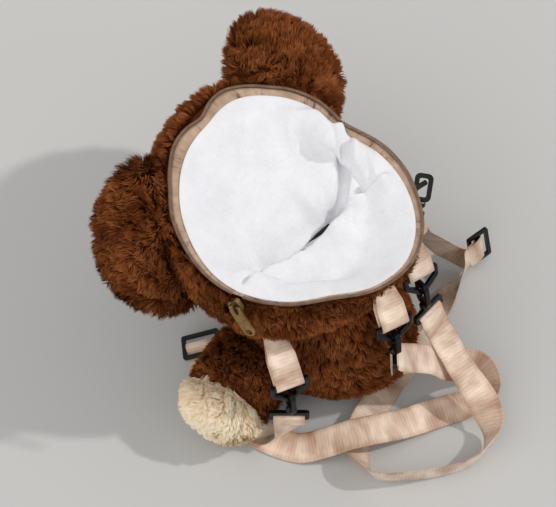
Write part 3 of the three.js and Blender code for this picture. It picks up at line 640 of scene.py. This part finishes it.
def plush_locks(row, skin, outer, normals, depth, room, open_share, fittings, draw):
    """Thousands of bent locks from the backing to the pile's tips, clear of the fittings."""
    at = scattered(row, triangles_of(skin.data), outer, open_share, draw)
    tip_face, normal = at(outer), unit(at(normals))
    deep, free = at(depth), at(room)
    root = tip_face - normal * (deep + ROOT_SINK)[:, None]
    flow = flow_of(row, tip_face, normal, outer, draw)
    size = len(root)
    lean = row["lean"] * MM * draw.uniform(*LOCK_LEANS, size)
    lean *= np.clip(free / ROOM_WANTED, LEAST_LEAN, 1)
    rise = np.minimum(row["over"] * MM * draw.uniform(*LOCK_RISES, size), ROOM_USED * free)
    if row["node"] == "head_back":
        close = seam_share(tip_face)
        rise = rise * (1 - close) - SEAM_SINK * deep * close
        lean *= 1 - SEAM_CALM * close
    tip, clump = gathered_tips(tip_face + normal * rise[:, None] + flow * lean[:, None], draw)

    crowded = ~clear_of(fittings, tip)
    tip[crowded] = (root + CROWDED_SHARE * (tip - root))[crowded]
    tip[:, 2] = np.maximum(tip[:, 2], TIP_FLOOR)
    middle = 0.5 * (root + tip) + normal * (LOCK_BOW * norm(tip - root, axis=1))[:, None]
    middle += LOCK_JITTER * draw.normal(size=(size, 3))
    middle[:, 2] = np.maximum(middle[:, 2], MIDDLE_FLOOR)
    keep = clear_of(fittings, tip) & clear_of(fittings, middle)
    kept = (values[keep] for values in (root, middle, tip, normal, clump))
    return lock_mesh(f"{row['node']}_pile", *kept, draw)


def build_plush():
    fittings = tree_of([name for name in NODES if name not in PLUSH_NODES + ZIP_CLOTH])
    for number, row in enumerate(PLUSH):
        draw = np.random.default_rng(100 + number)
        skin, *shape = plush_skin(row)
        material, slot = (CREAM, "cream_fur") if row["cream"] else (BROWN, "brown_fur")
        fur = plush_locks(row, skin, *shape, fittings, draw)
        dress(skin, material, row["node"])
        dress(fur, material)


# The mouth and the lining

# Reach of the zip's coil from the middle of the mouth, by angle from +X towards +Y
MOUTH_ANGLE = [0, 30, 55, 80, 102, 130, 160, 187, 205, 225, 246, 270, 300, 330]
MOUTH_REACH = [94, 87, 83, 92, 98, 96, 88, 79, 89, 97, 102, 98, 95, 94]
MOUTH_LEVEL = 181
MOUTH_TILT = 0.2
ZIP_LEFT, ZIP_RIGHT = 9, 189

# Slack in the soft rim: middle angle, spread, and how far it dips inwards, or bulges if negative
RIM_DENTS = [
    (265, 7, 4.6), (248, 8, -1.6), (284, 9, -1.8), (228, 6, 1.0), (134, 9, 1.2), (308, 8, 1.2),
]


def turn_from(degrees, middle):
    return np.mod(degrees - middle + 180, 360) - 180


def beside(degrees, middle, spread):
    """A bell from 1 in the middle of a place on the rim to 0 beside it."""
    return np.exp(-((turn_from(degrees, middle) / spread) ** 2))


def reach_at(degrees):
    """Smooth reach through the mouth's table, in millimetres."""
    turn = np.mod(degrees, 360)
    angle, reach = np.pad(np.array([MOUTH_ANGLE, MOUTH_REACH], float), ((0, 0), (1, 2)), mode="wrap")
    angle[0] -= 360
    angle[-2:] += 360
    k = np.clip(np.searchsorted(angle, turn, side="right") - 1, 1, len(angle) - 3)
    slope = np.zeros_like(angle)
    slope[1:-1] = (reach[2:] - reach[:-2]) / (angle[2:] - angle[:-2])
    span = angle[k + 1] - angle[k]
    share = (turn - angle[k]) / span
    rise = smoothstep(share)
    bend = share * (1 - share) * ((1 - share) * slope[k] - share * slope[k + 1])
    return (1 - rise) * reach[k] + rise * reach[k + 1] + span * bend


def lip_ring(degrees, out, drop, slack=0.2):
    """Points beside the coil. out and drop are (front, side, back) in millimetres, and slack
    is the share of the rim's dents that the ring follows."""
    angle = np.radians(degrees)
    along, across = np.sin(angle), np.cos(angle)
    sides = np.stack([np.maximum(0, -along) ** 2, across**2, np.maximum(0, along) ** 2])
    reach = reach_at(degrees)
    dents = sum(depth * beside(degrees, middle, spread) for middle, spread, depth in RIM_DENTS)
    far = reach - slack * dents + np.dot(out, sides)
    height = MOUTH_LEVEL - MOUTH_TILT * reach * along - np.dot(drop, sides)
    return np.stack([far * across, far * along, height], axis=-1) * MM


def section_ring(degrees, level, tilt, middle, side, front, back, skew=0, centre=0):
    """A tilted oval through the lining, from sizes in millimetres."""
    angle = np.radians(degrees)
    x = centre + side * np.cos(angle)
    y = middle + skew * x + np.where(np.sin(angle) > 0, back, front) * np.sin(angle)
    return np.stack([x, y, level - tilt * y], axis=-1) * MM


# Rings down the lining: beside the coil, as lip_ring takes them, then ovals, as section_ring does
LINING_LIP = [
    ((-7.6, -6.8, -4.0), (1.0, 1.0, 0.7)),
    ((-12.5, -11.5, -8), (2.0, 2.2, 2.4)),
    ((-27, -25, -21), (6, 9, 10)),
]
LINING = [
    (160, 0.33, 5, 58, 53, 52),
    (154, 0.26, 11, 50, 30, 27, -0.1),
    (146, 0.3, 13, 38, 10, 5, -0.22),
    (136, 0.28, 13, 17, 3, 3, -0.2, -17),
    (118, 0.1, 17, 43, 12, 12),
    (97, 0, 20, 41, 16, 16),
    (70, 0, 24, 42, 26, 26),
    (36, 0, 27, 41, 31, 31),
    (22, 0, 27, 32, 25, 25),
    (19.5, 0, 27, 6, 5, 5),
]
LINING_ROUND = 280
LINING_STEPS = [10] * 5 + [4] * 7
LINING_WALL = 0.9 * MM

# Folds that run down the lining: middle angle, spread and pitch in degrees, depth, first and last row
FOLDS = [
    (187, 8.8, 7, 0.7, 1.0, 3.2),
    (14, 13.2, 9, 0.5, 1.0, 3.4),
    (128, 16.5, 23, 0.9, 1.6, 4.8),
    (222, 16.5, 13, 0.7, 1.0, 3.6),
    (300, 33, 21, 0.5, 1.0, 4.2),
]

# How the folds sway, fill out and sharpen, and the unevenness between them, calm beside the rim
FOLD_BEND = 3.0
FOLD_BEND_RATE = 1.3
FOLD_FULLNESS = 0.8
FOLD_SHARPNESS = 0.85
LINING_SWIRLS = [(0.4, 45 * MM), (0.2, 18 * MM)]
CALM_ROWS = 1.5

# Laps where one sheet lies over the next: the line seen from above, its lower side, how far the other
# side rises, or sinks if negative, how wide the step is, and how far the rise reaches
LAPS = [
    ([(-78, -22), (-63, -8), (-50, 4), (-36, 11), (-20, 11)], 1, 12, 4, 27),
    ([(-62, 38), (-52, 33), (-37, 25), (-20, 20)], -1, 7.5, 3, 13),
    ([(20, 11), (36, 10), (54, 11), (74, 13)], -1, 8, 3, 13),
    ([(-74, 2), (-62, 11), (-52, 17), (-42, 22)], -1, 11, 2.5, 10),
    ([(66, 26), (50, 31), (30, 41)], -1, 2.6, 2, 8),
    ([(-69, 22), (-63, 30), (-60, 37)], -1, 3.4, 2.5, 7),
    ([(78, 4), (64, 6), (54, 6)], -1, 3, 2.5, 8),
    ([(-26, 21), (-10, 18), (14, 16), (34, 12), (42, 9)], 1, -16, 2.5, 14),
]
LAP_ROWS = 1.2
LAP_END = 7
SLIT_ROW = 5

# Where the lining's lip is drawn out over the tape, or back: middle angle, spread, way out and rise
SPILLS = [
    (188, 4, 6.5, 2.6),
    (20, 40, 4.4, 1.3),
    (265, 24, -2.0, -0.4),
]


def line_side(places, line):
    """Signed distance from a line of points, and how far each place is past its ends."""
    best = np.full(len(places), np.inf)
    signed, past = np.zeros(len(places)), np.zeros(len(places))
    line = np.array(line, float)
    for k, (start, stop) in enumerate(zip(line[:-1], line[1:])):
        way = stop - start
        long = norm(way)
        share = (places - start) @ way / long**2
        near = start + np.clip(share, 0, 1)[:, None] * way
        far = norm(places - near, axis=1)
        closer = far < best
        best[closer] = far[closer]
        turn = way[0] * (places[:, 1] - start[1]) - way[1] * (places[:, 0] - start[0])
        signed[closer] = (turn / long)[closer]
        ends = np.maximum(0, -share) * (k == 0) + np.maximum(0, share - 1) * (k == len(line) - 2)
        past[closer] = (ends * long)[closer]
    return signed, past


def lining_folds(inside, normals, degrees):
    """Long folds that run down the lining, sheets that lap, and soft unevenness all over."""
    rows = np.concatenate([k + np.arange(steps) / steps for k, steps in enumerate(LINING_STEPS)])
    rows = np.append(rows, len(LINING_STEPS))
    move = np.zeros(inside.shape[:2])
    bend = FOLD_BEND * np.sin(rows * FOLD_BEND_RATE)[:, None]
    for middle, spread, pitch, depth, start, stop in FOLDS:
        deep = np.sin(pi * np.clip((rows - start) / (stop - start), 0, 1))[:, None] ** FOLD_FULLNESS
        wave = np.sin(pi * (turn_from(degrees, middle) + bend) / pitch)
        wave = 1 - 2 * np.abs(wave) ** FOLD_SHARPNESS
        move += depth * deep * beside(degrees, middle, spread) * wave
    draw = np.random.default_rng(7)
    flat = inside.reshape(-1, 3)
    uneven = sum(share * swirl(flat, draw, wave)[:, 0] for share, wave in LINING_SWIRLS)
    move += uneven.reshape(move.shape) * np.clip(rows / CALM_ROWS, 0, 1)[:, None]
    out = inside + normals * (move * MM)[..., None]
    seen = np.clip(rows / LAP_ROWS, 0, 1) * np.clip(SLIT_ROW + 1 - rows, 0, 1)
    for line, side, rise, steep, reach in LAPS:
        signed, past = line_side(flat[:, :2] / MM, line)
        lower = signed * side
        edge = smoothstep(np.clip(1 - lower / steep, 0, 1))
        fade = np.exp(-((np.minimum(0, lower) / reach) ** 2) - (past / LAP_END) ** 2)
        out[..., 2] += rise * MM * (edge * fade).reshape(move.shape) * seen[:, None]
    return out


def through_rows(rings, steps):
    """Smooth rings between the given ones, by a spline down each column."""
    places = carried_on(np.array(rings))
    out = []
    for k, count in enumerate(steps):
        p0, p1, p2, p3 = places[k : k + 4]
        for t in np.arange(count) / count:
            bend = (2 * p0 - 5 * p1 + 4 * p2 - p3) * t**2 + (3 * p1 - p0 - 3 * p2 + p3) * t**3
            out.append(0.5 * (2 * p1 + (p2 - p0) * t + bend))
    out.append(rings[-1])
    return np.array(out)


def grid_faces(rows, columns, start=0):
    """Quads of a grid whose columns close on themselves."""
    row, column = np.meshgrid(np.arange(rows - 1) * columns, np.arange(columns), indexing="ij")
    after = (column + 1) % columns
    below = row + columns
    quads = np.stack([row + column, row + after, below + after, below + column], axis=-1)
    return quads.reshape(-1, 4) + start


def grid_normals(grid):
    """Unit normals of a grid that closes round its columns."""
    round_way = np.roll(grid, -1, axis=1) - np.roll(grid, 1, axis=1)
    down_way = np.gradient(grid, axis=0)
    return unit(np.cross(round_way, down_way))


def build_lining():
    degrees = np.arange(LINING_ROUND) * 360 / LINING_ROUND
    rings = [lip_ring(degrees, *row) for row in LINING_LIP]
    outward = unit(rings[0] * LEVEL)
    for middle, spread, out, rise in SPILLS:
        rings[0] = rings[0] + beside(degrees, middle, spread)[:, None] * (outward * out + UP * rise) * MM
    rings += [section_ring(degrees, *row) for row in LINING]
    inside = through_rows(rings, LINING_STEPS)
    inside = lining_folds(inside, grid_normals(inside), degrees)
    outside = inside - grid_normals(inside) * LINING_WALL
    rows = len(inside)
    count = rows * LINING_ROUND
    points = np.concatenate([inside.reshape(-1, 3), outside.reshape(-1, 3)])
    inner = grid_faces(rows, LINING_ROUND)
    outer = grid_faces(rows, LINING_ROUND, count)[:, ::-1]
    column = np.arange(LINING_ROUND)
    after = (column + 1) % LINING_ROUND
    top = np.stack([column, column + count, after + count, after], axis=1)
    bottom = top[:, ::-1] + (rows - 1) * LINING_ROUND
    obj = mesh_object("lining_cloth", points, np.concatenate([inner, outer, top, bottom]))
    dress(obj, COTTON, "lining")


# The zip

# The tape: its inner and outer edges, and its gathers, which sway and come in groups
TAPE_EDGES = [
    ((-11.2, -9.2, -5.7), (3, 2.5, 1.7)),
    ((0, 0, 0), (0.3, 0.3, 0.3), 1),
]
TAPE_THICK = 0.9 * MM
TAPE_STEPS = 241
TAPE_LANES = 5
GATHERS = 37
GATHER_SWAY = 1.7
GATHER_SWAYS = 9
GATHER_GROUPS = 5
GATHER_START = 0.6
GATHER_RISE = 0.5 * MM

# The coil: where its teeth stand beside the rim, and the rings of a tooth along it, with their radii
COIL_OUT = [0.8] * 3
COIL_DROP = [-0.9] * 3
COIL_STEPS = 400
LOOK_AHEAD = 0.5 * MM
TEETH_PITCH = 1.5 * MM
TOOTH_SIDES = 8
TOOTH_HALF = 0.69 * MM
TOOTH_WIDE = 1.15
TOOTH_RINGS = [(-1, 0.6 * MM), (-0.45, 1.2 * MM), (0.45, 1.2 * MM), (1, 0.6 * MM)]
TOOTH_CAPS = np.array([[0, 1, 2, 3], [0, 3, 4, 7], [4, 5, 6, 7]])
COIL_INSET = {"back": (2, 0.6), "front": (0.6, 2)}
ZIP_HALVES = [("back", ZIP_LEFT, ZIP_RIGHT), ("front", ZIP_RIGHT, ZIP_LEFT + 360)]


def build_tape(name, start, stop):
    """Half of the zip's tape: a thin strip beside the coil, gathered along its middle."""
    degrees = np.linspace(start, stop, TAPE_STEPS)
    inner, outer = (lip_ring(degrees, *row) for row in TAPE_EDGES)
    shares = np.linspace(0, 1, TAPE_LANES)[:, None]
    angle = np.radians(degrees)
    gathers = np.sin(GATHERS * angle + GATHER_SWAY * np.sin(GATHER_SWAYS * angle))
    gathers *= np.sin(GATHER_GROUPS * angle + GATHER_START) ** 2
    top = inner + (outer - inner) * shares[..., None]
    top[:, :, 2] += GATHER_RISE * gathers * np.sin(pi * shares)
    loop = np.concatenate([top, top[::-1] - UP * TAPE_THICK])
    points = loop.transpose(1, 0, 2).reshape(-1, 3)
    obj = mesh_object(f"zip_tape_{name}_cloth", points, grid_faces(TAPE_STEPS, len(loop)))
    closed_ends(obj.data)
    length = run_along(outer)[-1]
    shown = points_of(obj.data)
    turn = np.mod(np.degrees(np.arctan2(shown[:, 1], shown[:, 0])) - start, 360)
    run = np.stack([turn / (stop - start) * length, np.hypot(shown[:, 0], shown[:, 1])], axis=1)
    corners = np.empty(len(obj.data.loops), np.int32)
    obj.data.loops.foreach_get("vertex_index", corners)
    flat_map(obj.data, "run", run[corners])
    dress(obj, TAPE, f"zip_tape_{name}")
    wide = float(norm(outer - inner, axis=1).mean())


def build_coil(name, start, stop):
    """Half of the zip's coil: a row of rounded teeth."""
    degrees = np.linspace(start + COIL_INSET[name][0], stop - COIL_INSET[name][1], COIL_STEPS)
    path = lip_ring(degrees, COIL_OUT, COIL_DROP, slack=1)
    run = run_along(path)
    count = int(run[-1] / TEETH_PITCH)
    places = (np.arange(count) + 0.5) * TEETH_PITCH
    middle, ahead = (
        np.stack([np.interp(at, run, path[:, k]) for k in range(3)], axis=1)
        for at in (places, places + LOOK_AHEAD)
    )
    along = unit(ahead - middle)
    out = unit(np.cross(along, UP))
    high = np.cross(out, along)
    points = []
    for offset, radius in TOOTH_RINGS:
        for turn in np.arange(TOOTH_SIDES) * 2 * pi / TOOTH_SIDES:
            ring = out * (TOOTH_WIDE * radius * cos(turn)) + high * (radius * sin(turn))
            points.append(middle + along * TOOTH_HALF * offset + ring)
    last = (len(TOOTH_RINGS) - 1) * TOOTH_SIDES
    pattern = [grid_faces(len(TOOTH_RINGS), TOOTH_SIDES), TOOTH_CAPS[:, ::-1], TOOTH_CAPS + last]
    faces = np.arange(count)[:, None, None] * len(points) + np.concatenate(pattern)
    points = np.stack(points, axis=1).reshape(-1, 3)
    obj = mesh_object(f"zip_coil_{name}_teeth", points, faces.reshape(-1, 4))
    dress(obj, COIL, f"zip_coil_{name}")


# Hard fittings: the CAD form with its edges eased

PLANE_ANGLE = radians(3)
EDGE_ANGLE = radians(40)
FULLER = 0.35 * MM
ROUNDING = {"ring": 1.2 * MM, "hook": 1.0 * MM, "base": 0.9 * MM}


def eased(node, width, material, body=BAG, segments=2, swell=0.0):
    obj = mesh_object(f"{node}_eased", *welded(node), smooth=False)
    work = bmesh.new()
    work.from_mesh(obj.data)
    bmesh.ops.dissolve_limit(work, angle_limit=PLANE_ANGLE, verts=work.verts, edges=work.edges)
    work.to_mesh(obj.data)
    work.free()
    bevel = with_values(obj.modifiers.new("edge", "BEVEL"), width=width, segments=segments)
    with_values(bevel, limit_method="ANGLE", angle_limit=EDGE_ANGLE, use_clamp_overlap=True)
    applied(obj)
    moved(obj.data, points_of(obj.data) + swell * normals_of(obj.data))
    obj.data.shade_smooth()
    with_values(obj.modifiers.new("even", "WEIGHTED_NORMAL"), keep_sharp=True)
    applied(obj)
    dress(obj, material, node, body)


# Webbing

WEB_WIDTH = 25
WEB_THICK = 1.2
TAB_WIDTH = 23
TAB_ROOT_WIDTH = 13
TAB_THICK = 1.0
RING_BAR = 3.6
RING_GRIP = 18.6
BASE_TOP = 38.9
BASE_BAR = 2.7
BASE_SLOT = 3.3
BASE_TURN = 2.75
BASE_LIFTS = (0.5, 0.6)
BASE_LEAD = 6
GLIDE_TURN = 2.9
GLIDE_IN = [(-16, -4.7), (-9, -4.8), (-4.6, -4.2)]
GLIDE_OUT = [(-2.2, 2.3), (-4.6, -0.1), (-7.2, -2.6), (-9.6, -2.9), (-16, -2.8)]
TAB_GAP = 0.35
TAB_BEND = 0.45
TAB_ROOT_GAP = 1.2

# A strip's section: places across it, and its thickness there
RIBBON_STEPS = 6
LANES = np.array([-0.5, -0.47, -0.42, -0.25, 0, 0.25, 0.42, 0.47, 0.5])
LANE_THICKNESS = np.array([0.35, 0.8, 1, 0.94, 0.94, 0.94, 1, 0.8, 0.35])
LEAST_GAP = 1e-6

# Where a tab is sewn on and holds its ring, the way that hook and ring hang, and the ways of their bars
ANCHORS = {
    "side_left": dict(
        root=(71, 29, 121), ring=(91, 61, 90), hang=(-0.05, 0.17, -1),
        ring_bar=(-0.85, 0.52, 0), base_bar=(0.59, -0.81, 0),
    ),
    "back_left": dict(
        root=(16, 82, 154), ring=(17, 106, 125), hang=(-0.14, 0.2, -1),
        ring_bar=(-0.9, 0.43, 0), base_bar=(-0.81, -0.59, 0),
    ),
    "back_right": dict(
        root=(-30, 76, 148), ring=(-34, 96, 121), hang=(0.02, 0.3, -0.95),
        ring_bar=(-0.93, 0.36, 0), base_bar=(-1, 0.1, 0),
    ),
    "side_right": dict(
        root=(-62, 34, 112), ring=(-93, 42, 111), ring_hang=(-0.95, 0.25, -0.1), hang=(0.6, 0.25, -0.76),
        ring_bar=(0.43, 0.31, 0.85), base_bar=(-0.34, -0.73, -0.59),
    ),
}

# Strap routes: x, y, lift, compass angle of the width, rise of its edge
LEFT_OUT = [
    (-8, 127, 54, 220, 10), (-21, 139, 36, 215, 15), (-38, 147, 25, 196, 30), (-44, 160, 18, 165, 55),
    (-37, 171, 12, 110, 45), (-22, 167, 7, 68, 12), (2, 150, 5, 54, -14), (32, 133, 12, 54, -12),
    (56, 119, 23, 50, -6), (70, 107, 23, 48, -6), (83, 93, 14, 44, -10), (96, 76, 4.4, 30, -12),
    (103, 52, 1.6, 8, 0), (104, 26, 1, -4, 0), (101, 2, 1, -14, 0), (94, -20, 1.2, -28, 0),
]
LEFT_BACK = [
    (94, -20, 3.4, -28, 0), (101, 2, 2.9, -14, 0), (104, 26, 2.9, -4, 0), (103, 47, 5, 4, 10),
    (97, 62, 17, -10, 34),
]
RIGHT_OUT = [
    (-34, 119, 58, 176, 0), (-28, 137, 47, 178, 0), (-22, 156, 36, 178, 4), (-17, 174, 27, 170, 18),
    (-10, 187, 19, 145, 42), (0, 196, 14, 115, 66), (15, 199, 13.4, 80, 80), (33, 194, 13.4, 58, 82),
    (52, 180, 13.4, 46, 82), (71, 160, 13.4, 32, 80), (83, 143, 13.2, 12, 76), (83, 130, 12, -10, 64),
    (76, 118, 9.2, -40, 40), (60, 108, 7, -70, 30), (40, 104, 6, -80, 24), (22, 102, 3.6, -86, 12),
    (4, 100, 1.2, -90, 0), (-20, 100, 1.2, -92, 0), (-48, 98, 1.4, -94, 0), (-74, 94, 3.4, -92, -10),
    (-90, 93, 7, -92, -30), (-103, 94, 11.4, -92, -58), (-115, 95, 14.6, -93, -84),
]
RIGHT_BACK = [
    (-121, 76, 22, -112, -90), (-114, 66, 36, -114, -76), (-105, 59, 56, -115, -62),
    (-98, 53, 72, -115, -50),
]
GLIDES = {
    "left": dict(at=(70, -44, 11.4), along=(-0.75, -0.66, 0.06), across=(0.62, -0.7, -0.32)),
    "right": dict(at=(-143, 92, 17.4), along=(-0.95, 0.3, 0), across=(0.02, 0.25, -0.966)),
}


def arrays(rows):
    return {key: np.array(value, float) for key, value in rows.items()}


def frame_of(place, x_axis, y_axis):
    """A place in millimetres and two axes square to the first one given."""
    x = unit(x_axis)
    y = unit(y_axis - x * y_axis.dot(x))
    return place, y, np.cross(x, y)


def frame_rows(local, across, pairs, width):
    """Rows of a strip: places, the way across and the width."""
    origin, y, z = local
    return [(origin + y * a + z * b, across, width) for a, b in pairs]


def half_turn(middle, reach):
    """Five places round a bar, from one side of it to the other."""
    slant = reach * sqrt(0.5)
    round_bar = [(0, -reach), (slant, -slant), (reach, 0), (slant, slant), (0, reach)]
    return [(middle + a, b) for a, b in round_bar]


def floor_rows(table):
    rows = []
    for x, y, lift, turn, rise in table:
        turn, rise = radians(turn), radians(rise)
        across = [cos(rise) * cos(turn), cos(rise) * sin(turn), sin(rise)]
        rows.append((np.array([x, y, lift], float), np.array(across), WEB_WIDTH))
    return rows


def bar_fold(name, tail):
    """The fold of a strap round the swivel bar of its hook."""
    anchor = arrays(ANCHORS[name])
    bar, ring_bar = unit(anchor["base_bar"]), unit(anchor["ring_bar"])
    up = -anchor["hang"]
    up = unit(up - ring_bar * up.dot(ring_bar))
    origin, ring_up, _ = frame_of(anchor["ring"], ring_bar, -anchor.get("ring_hang", anchor["hang"]))
    local = frame_of(origin + (up - ring_up) * RING_GRIP, bar, up)
    middle = -(BASE_TOP + 1.5 * BASE_BAR + BASE_SLOT)
    first = (middle - tail, BASE_LIFTS[0] - BASE_TURN)
    last = (middle - BASE_LEAD, BASE_TURN + BASE_LIFTS[1])
    return frame_rows(local, bar, [first, *half_turn(middle, BASE_TURN), last], WEB_WIDTH)


def glide_turn(name):
    """The way of a strap through its glide, round the middle bar."""
    glide = arrays(GLIDES[name])
    across = unit(glide["across"])
    local = frame_of(glide["at"], -across, glide["along"])
    return frame_rows(local, across, [*GLIDE_IN, *half_turn(0, GLIDE_TURN), *GLIDE_OUT], WEB_WIDTH)


def tab_rows(name):
    """A tab from its seam, round the bar of its ring and back."""
    anchor = arrays(ANCHORS[name])
    bar, way = unit(anchor["ring_bar"]), anchor["root"] - anchor["ring"]
    length = float(norm(way))
    bend = length * TAB_BEND
    turn = RING_BAR / 2 + TAB_THICK + TAB_GAP
    out, back = [(length, TAB_ROOT_GAP), (bend, turn)], [(bend, -turn), (length, -TAB_ROOT_GAP)]
    rows = frame_rows(frame_of(anchor["ring"], bar, way), bar, [*out, *half_turn(0, -turn), *back], TAB_WIDTH)
    for k in (0, -1):
        rows[k] = (*rows[k][:2], TAB_ROOT_WIDTH)
    return rows


def part_way(first, second, start, stop, at):
    return first * (stop - at) / (stop - start) + second * (at - start) / (stop - start)


def spline(places):
    """Centripetal spline through the places, with the share of each step between two of them."""
    points = carried_on(places)
    out, at = [], []
    for k in range(len(places) - 1):
        a, b, c, d = points[k : k + 4]
        gaps = norm(np.diff(points[k : k + 4], axis=0), axis=1)
        t1, t2, t3 = np.cumsum(np.maximum(gaps, LEAST_GAP) ** 0.5)
        shares = np.linspace(0, 1, RIBBON_STEPS + 1)
        for share in shares if k == len(places) - 2 else shares[:-1]:
            t = t1 + (t2 - t1) * share
            ab = part_way(a, b, 0, t1, t)
            bc = part_way(b, c, t1, t2, t)
            cd = part_way(c, d, t2, t3, t)
            low = part_way(ab, bc, 0, t2, t)
            high = part_way(bc, cd, t1, t3, t)
            out.append(part_way(low, high, t1, t2, t))
            at.append(k + share)
    return np.array(out), np.array(at)


def ribbon(name, rows, thick):
    """Webbing along a route: a closed strip with rounded edges and a map of its run."""
    places, across, widths = (np.array(values, float) for values in zip(*rows))
    path, at = spline(places)
    low = np.minimum(at.astype(int), len(rows) - 2)
    part = (at - low)[:, None]
    along = unit(np.gradient(path, axis=0))
    side = across[low] * (1 - part) + across[low + 1] * part
    side = unit(side - along * np.einsum("nk,nk->n", side, along)[:, None])
    normal = np.cross(along, side)
    width = widths[low, None] * (1 - part) + widths[low + 1, None] * part
    half = LANE_THICKNESS * 0.5 * thick
    lane = np.concatenate([LANES, LANES[::-1]])
    high = np.concatenate([half, -half[::-1]])
    points = path[:, None] + side[:, None] * (lane * width)[..., None] + normal[:, None] * high[:, None]
    count, rings = points.shape[:2]
    faces = grid_faces(count, rings)
    obj = mesh_object(name, points.reshape(-1, 3) * MM, faces)
    run = run_along(path)
    flat_map(obj.data, "run", np.stack([run[faces // rings], lane[faces % rings] * WEB_WIDTH], axis=-1) * MM)
    closed_ends(obj.data)
    return obj, float(run[-1]) * MM


def build_webbing():
    routes = {"left": (LEFT_OUT, LEFT_BACK), "right": (RIGHT_OUT, RIGHT_BACK)}
    for side, (out, back) in routes.items():
        node = f"strap_{side}"
        rows = [
            *bar_fold(f"back_{side}", tail=14), *floor_rows(out), *glide_turn(side),
            *floor_rows(back), *bar_fold(f"side_{side}", tail=8)[::-1],
        ]
        obj, length = ribbon(f"{node}_webbing", rows, WEB_THICK)
        dress(obj, WEBBING, node)
    for name in ANCHORS:
        obj, length = ribbon(f"tab_{name}_webbing", tab_rows(name), TAB_THICK)
        dress(obj, WEBBING, f"tab_{name}")


def build_fittings():
    for name in ANCHORS:
        for kind, width in ROUNDING.items():
            eased(f"{kind}_{name}", width, PLASTIC, segments=3, swell=FULLER)
    for side in GLIDES:
        eased(f"glide_{side}", ROUNDING["base"], PLASTIC, segments=3)
    eased("zip_slider", 0.35 * MM, BRASS)
    eased("zip_pull", 0.3 * MM, BRASS, PULL)


FACE_VOXEL = 0.8 * MM
FACE_PASSES = 8
FACE = [("nose", NOSE, "nose_cloth"), ("eye_left", BEAD, "bead"), ("eye_right", BEAD, "bead")]


def build_face():
    for node, material, slot in FACE:
        obj = remeshed(mesh_object(f"{node}_round", *welded(node)), FACE_VOXEL, FACE_PASSES)
        dress(obj, material, node)


# Stage, camera and light

CAMERA_AT = Vector((0.6285, 0.4408, 1.3326))
LOOKS_AT = Vector((0.0369, 0.0109, 0.1623))
FOCAL_MM = 118
SENSOR_MM = 36
SEEN_FAR = 20
LAMP_FAR = 3
IMAGE_RIGHT = Vector((-0.588, 0.809, 0))
IMAGE_AWAY = Vector((-0.809, -0.588, 0))
LIGHTS = {
    "key": dict(right=1, away=0.1, height=42, spread=2.6, power=1.25, colour=(1.0, 0.985, 0.965)),
    "bounce": dict(right=-0.7, away=-0.7, height=38, spread=80, power=1.15, colour=(1.0, 0.98, 0.955)),
}
FILL = 0.56
SKY = (0.98, 0.99, 1.0, 1)
FLOOR_HALF = 3.0
FLOOR_LOW = (196, 195, 193)
FLOOR_HIGH = (199, 198, 196)


def aimed(obj, place, target):
    obj.location = place
    obj.rotation_euler = (Vector(target) - Vector(place)).to_track_quat("-Z", "Y").to_euler()
    SCENE.collection.objects.link(obj)


def build_stage():
    corners = FLOOR_HALF * np.array([(-1, -1, 0), (1, -1, 0), (1, 1, 0), (-1, 1, 0)])
    floor = mesh_object("floor", corners, np.array([[0, 1, 2, 3]]))
    nodes = Nodes("pale_floor")
    shade = nodes.noise(nodes.coordinates(), scale=3)
    nodes.colour(nodes.ramp(shade, (0.2, FLOOR_LOW), (0.8, FLOOR_HIGH)))
    nodes.set(Roughness=0.9, Specular_IOR_Level=0.1)
    floor.data.materials.append(nodes.material)

    data = bpy.data.cameras.new("photo_view")
    with_values(data, lens=FOCAL_MM, sensor_width=SENSOR_MM, clip_end=SEEN_FAR)
    camera = bpy.data.objects.new("photo_view", data)
    aimed(camera, CAMERA_AT, LOOKS_AT)
    SCENE.camera = camera

    for name, light in LIGHTS.items():
        lamp = bpy.data.lights.new(name, "SUN")
        with_values(lamp, angle=radians(light["spread"]), energy=light["power"], color=light["colour"])
        tall = radians(light["height"])
        level = (light["right"] * IMAGE_RIGHT + light["away"] * IMAGE_AWAY).normalized()
        way = level * cos(tall) + Vector((0, 0, sin(tall)))
        aimed(bpy.data.objects.new(name, lamp), way * LAMP_FAR, (0, 0, 0))

    world = with_values(bpy.data.worlds.new("room"), use_nodes=True)
    SCENE.world = world
    sky = world.node_tree.nodes["Background"].inputs
    sky["Color"].default_value = SKY
    sky["Strength"].default_value = FILL
    with_values(SCENE.view_settings, view_transform="Standard", look="None")


build_stage()
build_webbing()
build_lining()
for half in ZIP_HALVES:
    build_tape(*half)
    build_coil(*half)
build_fittings()
build_face()
build_plush()
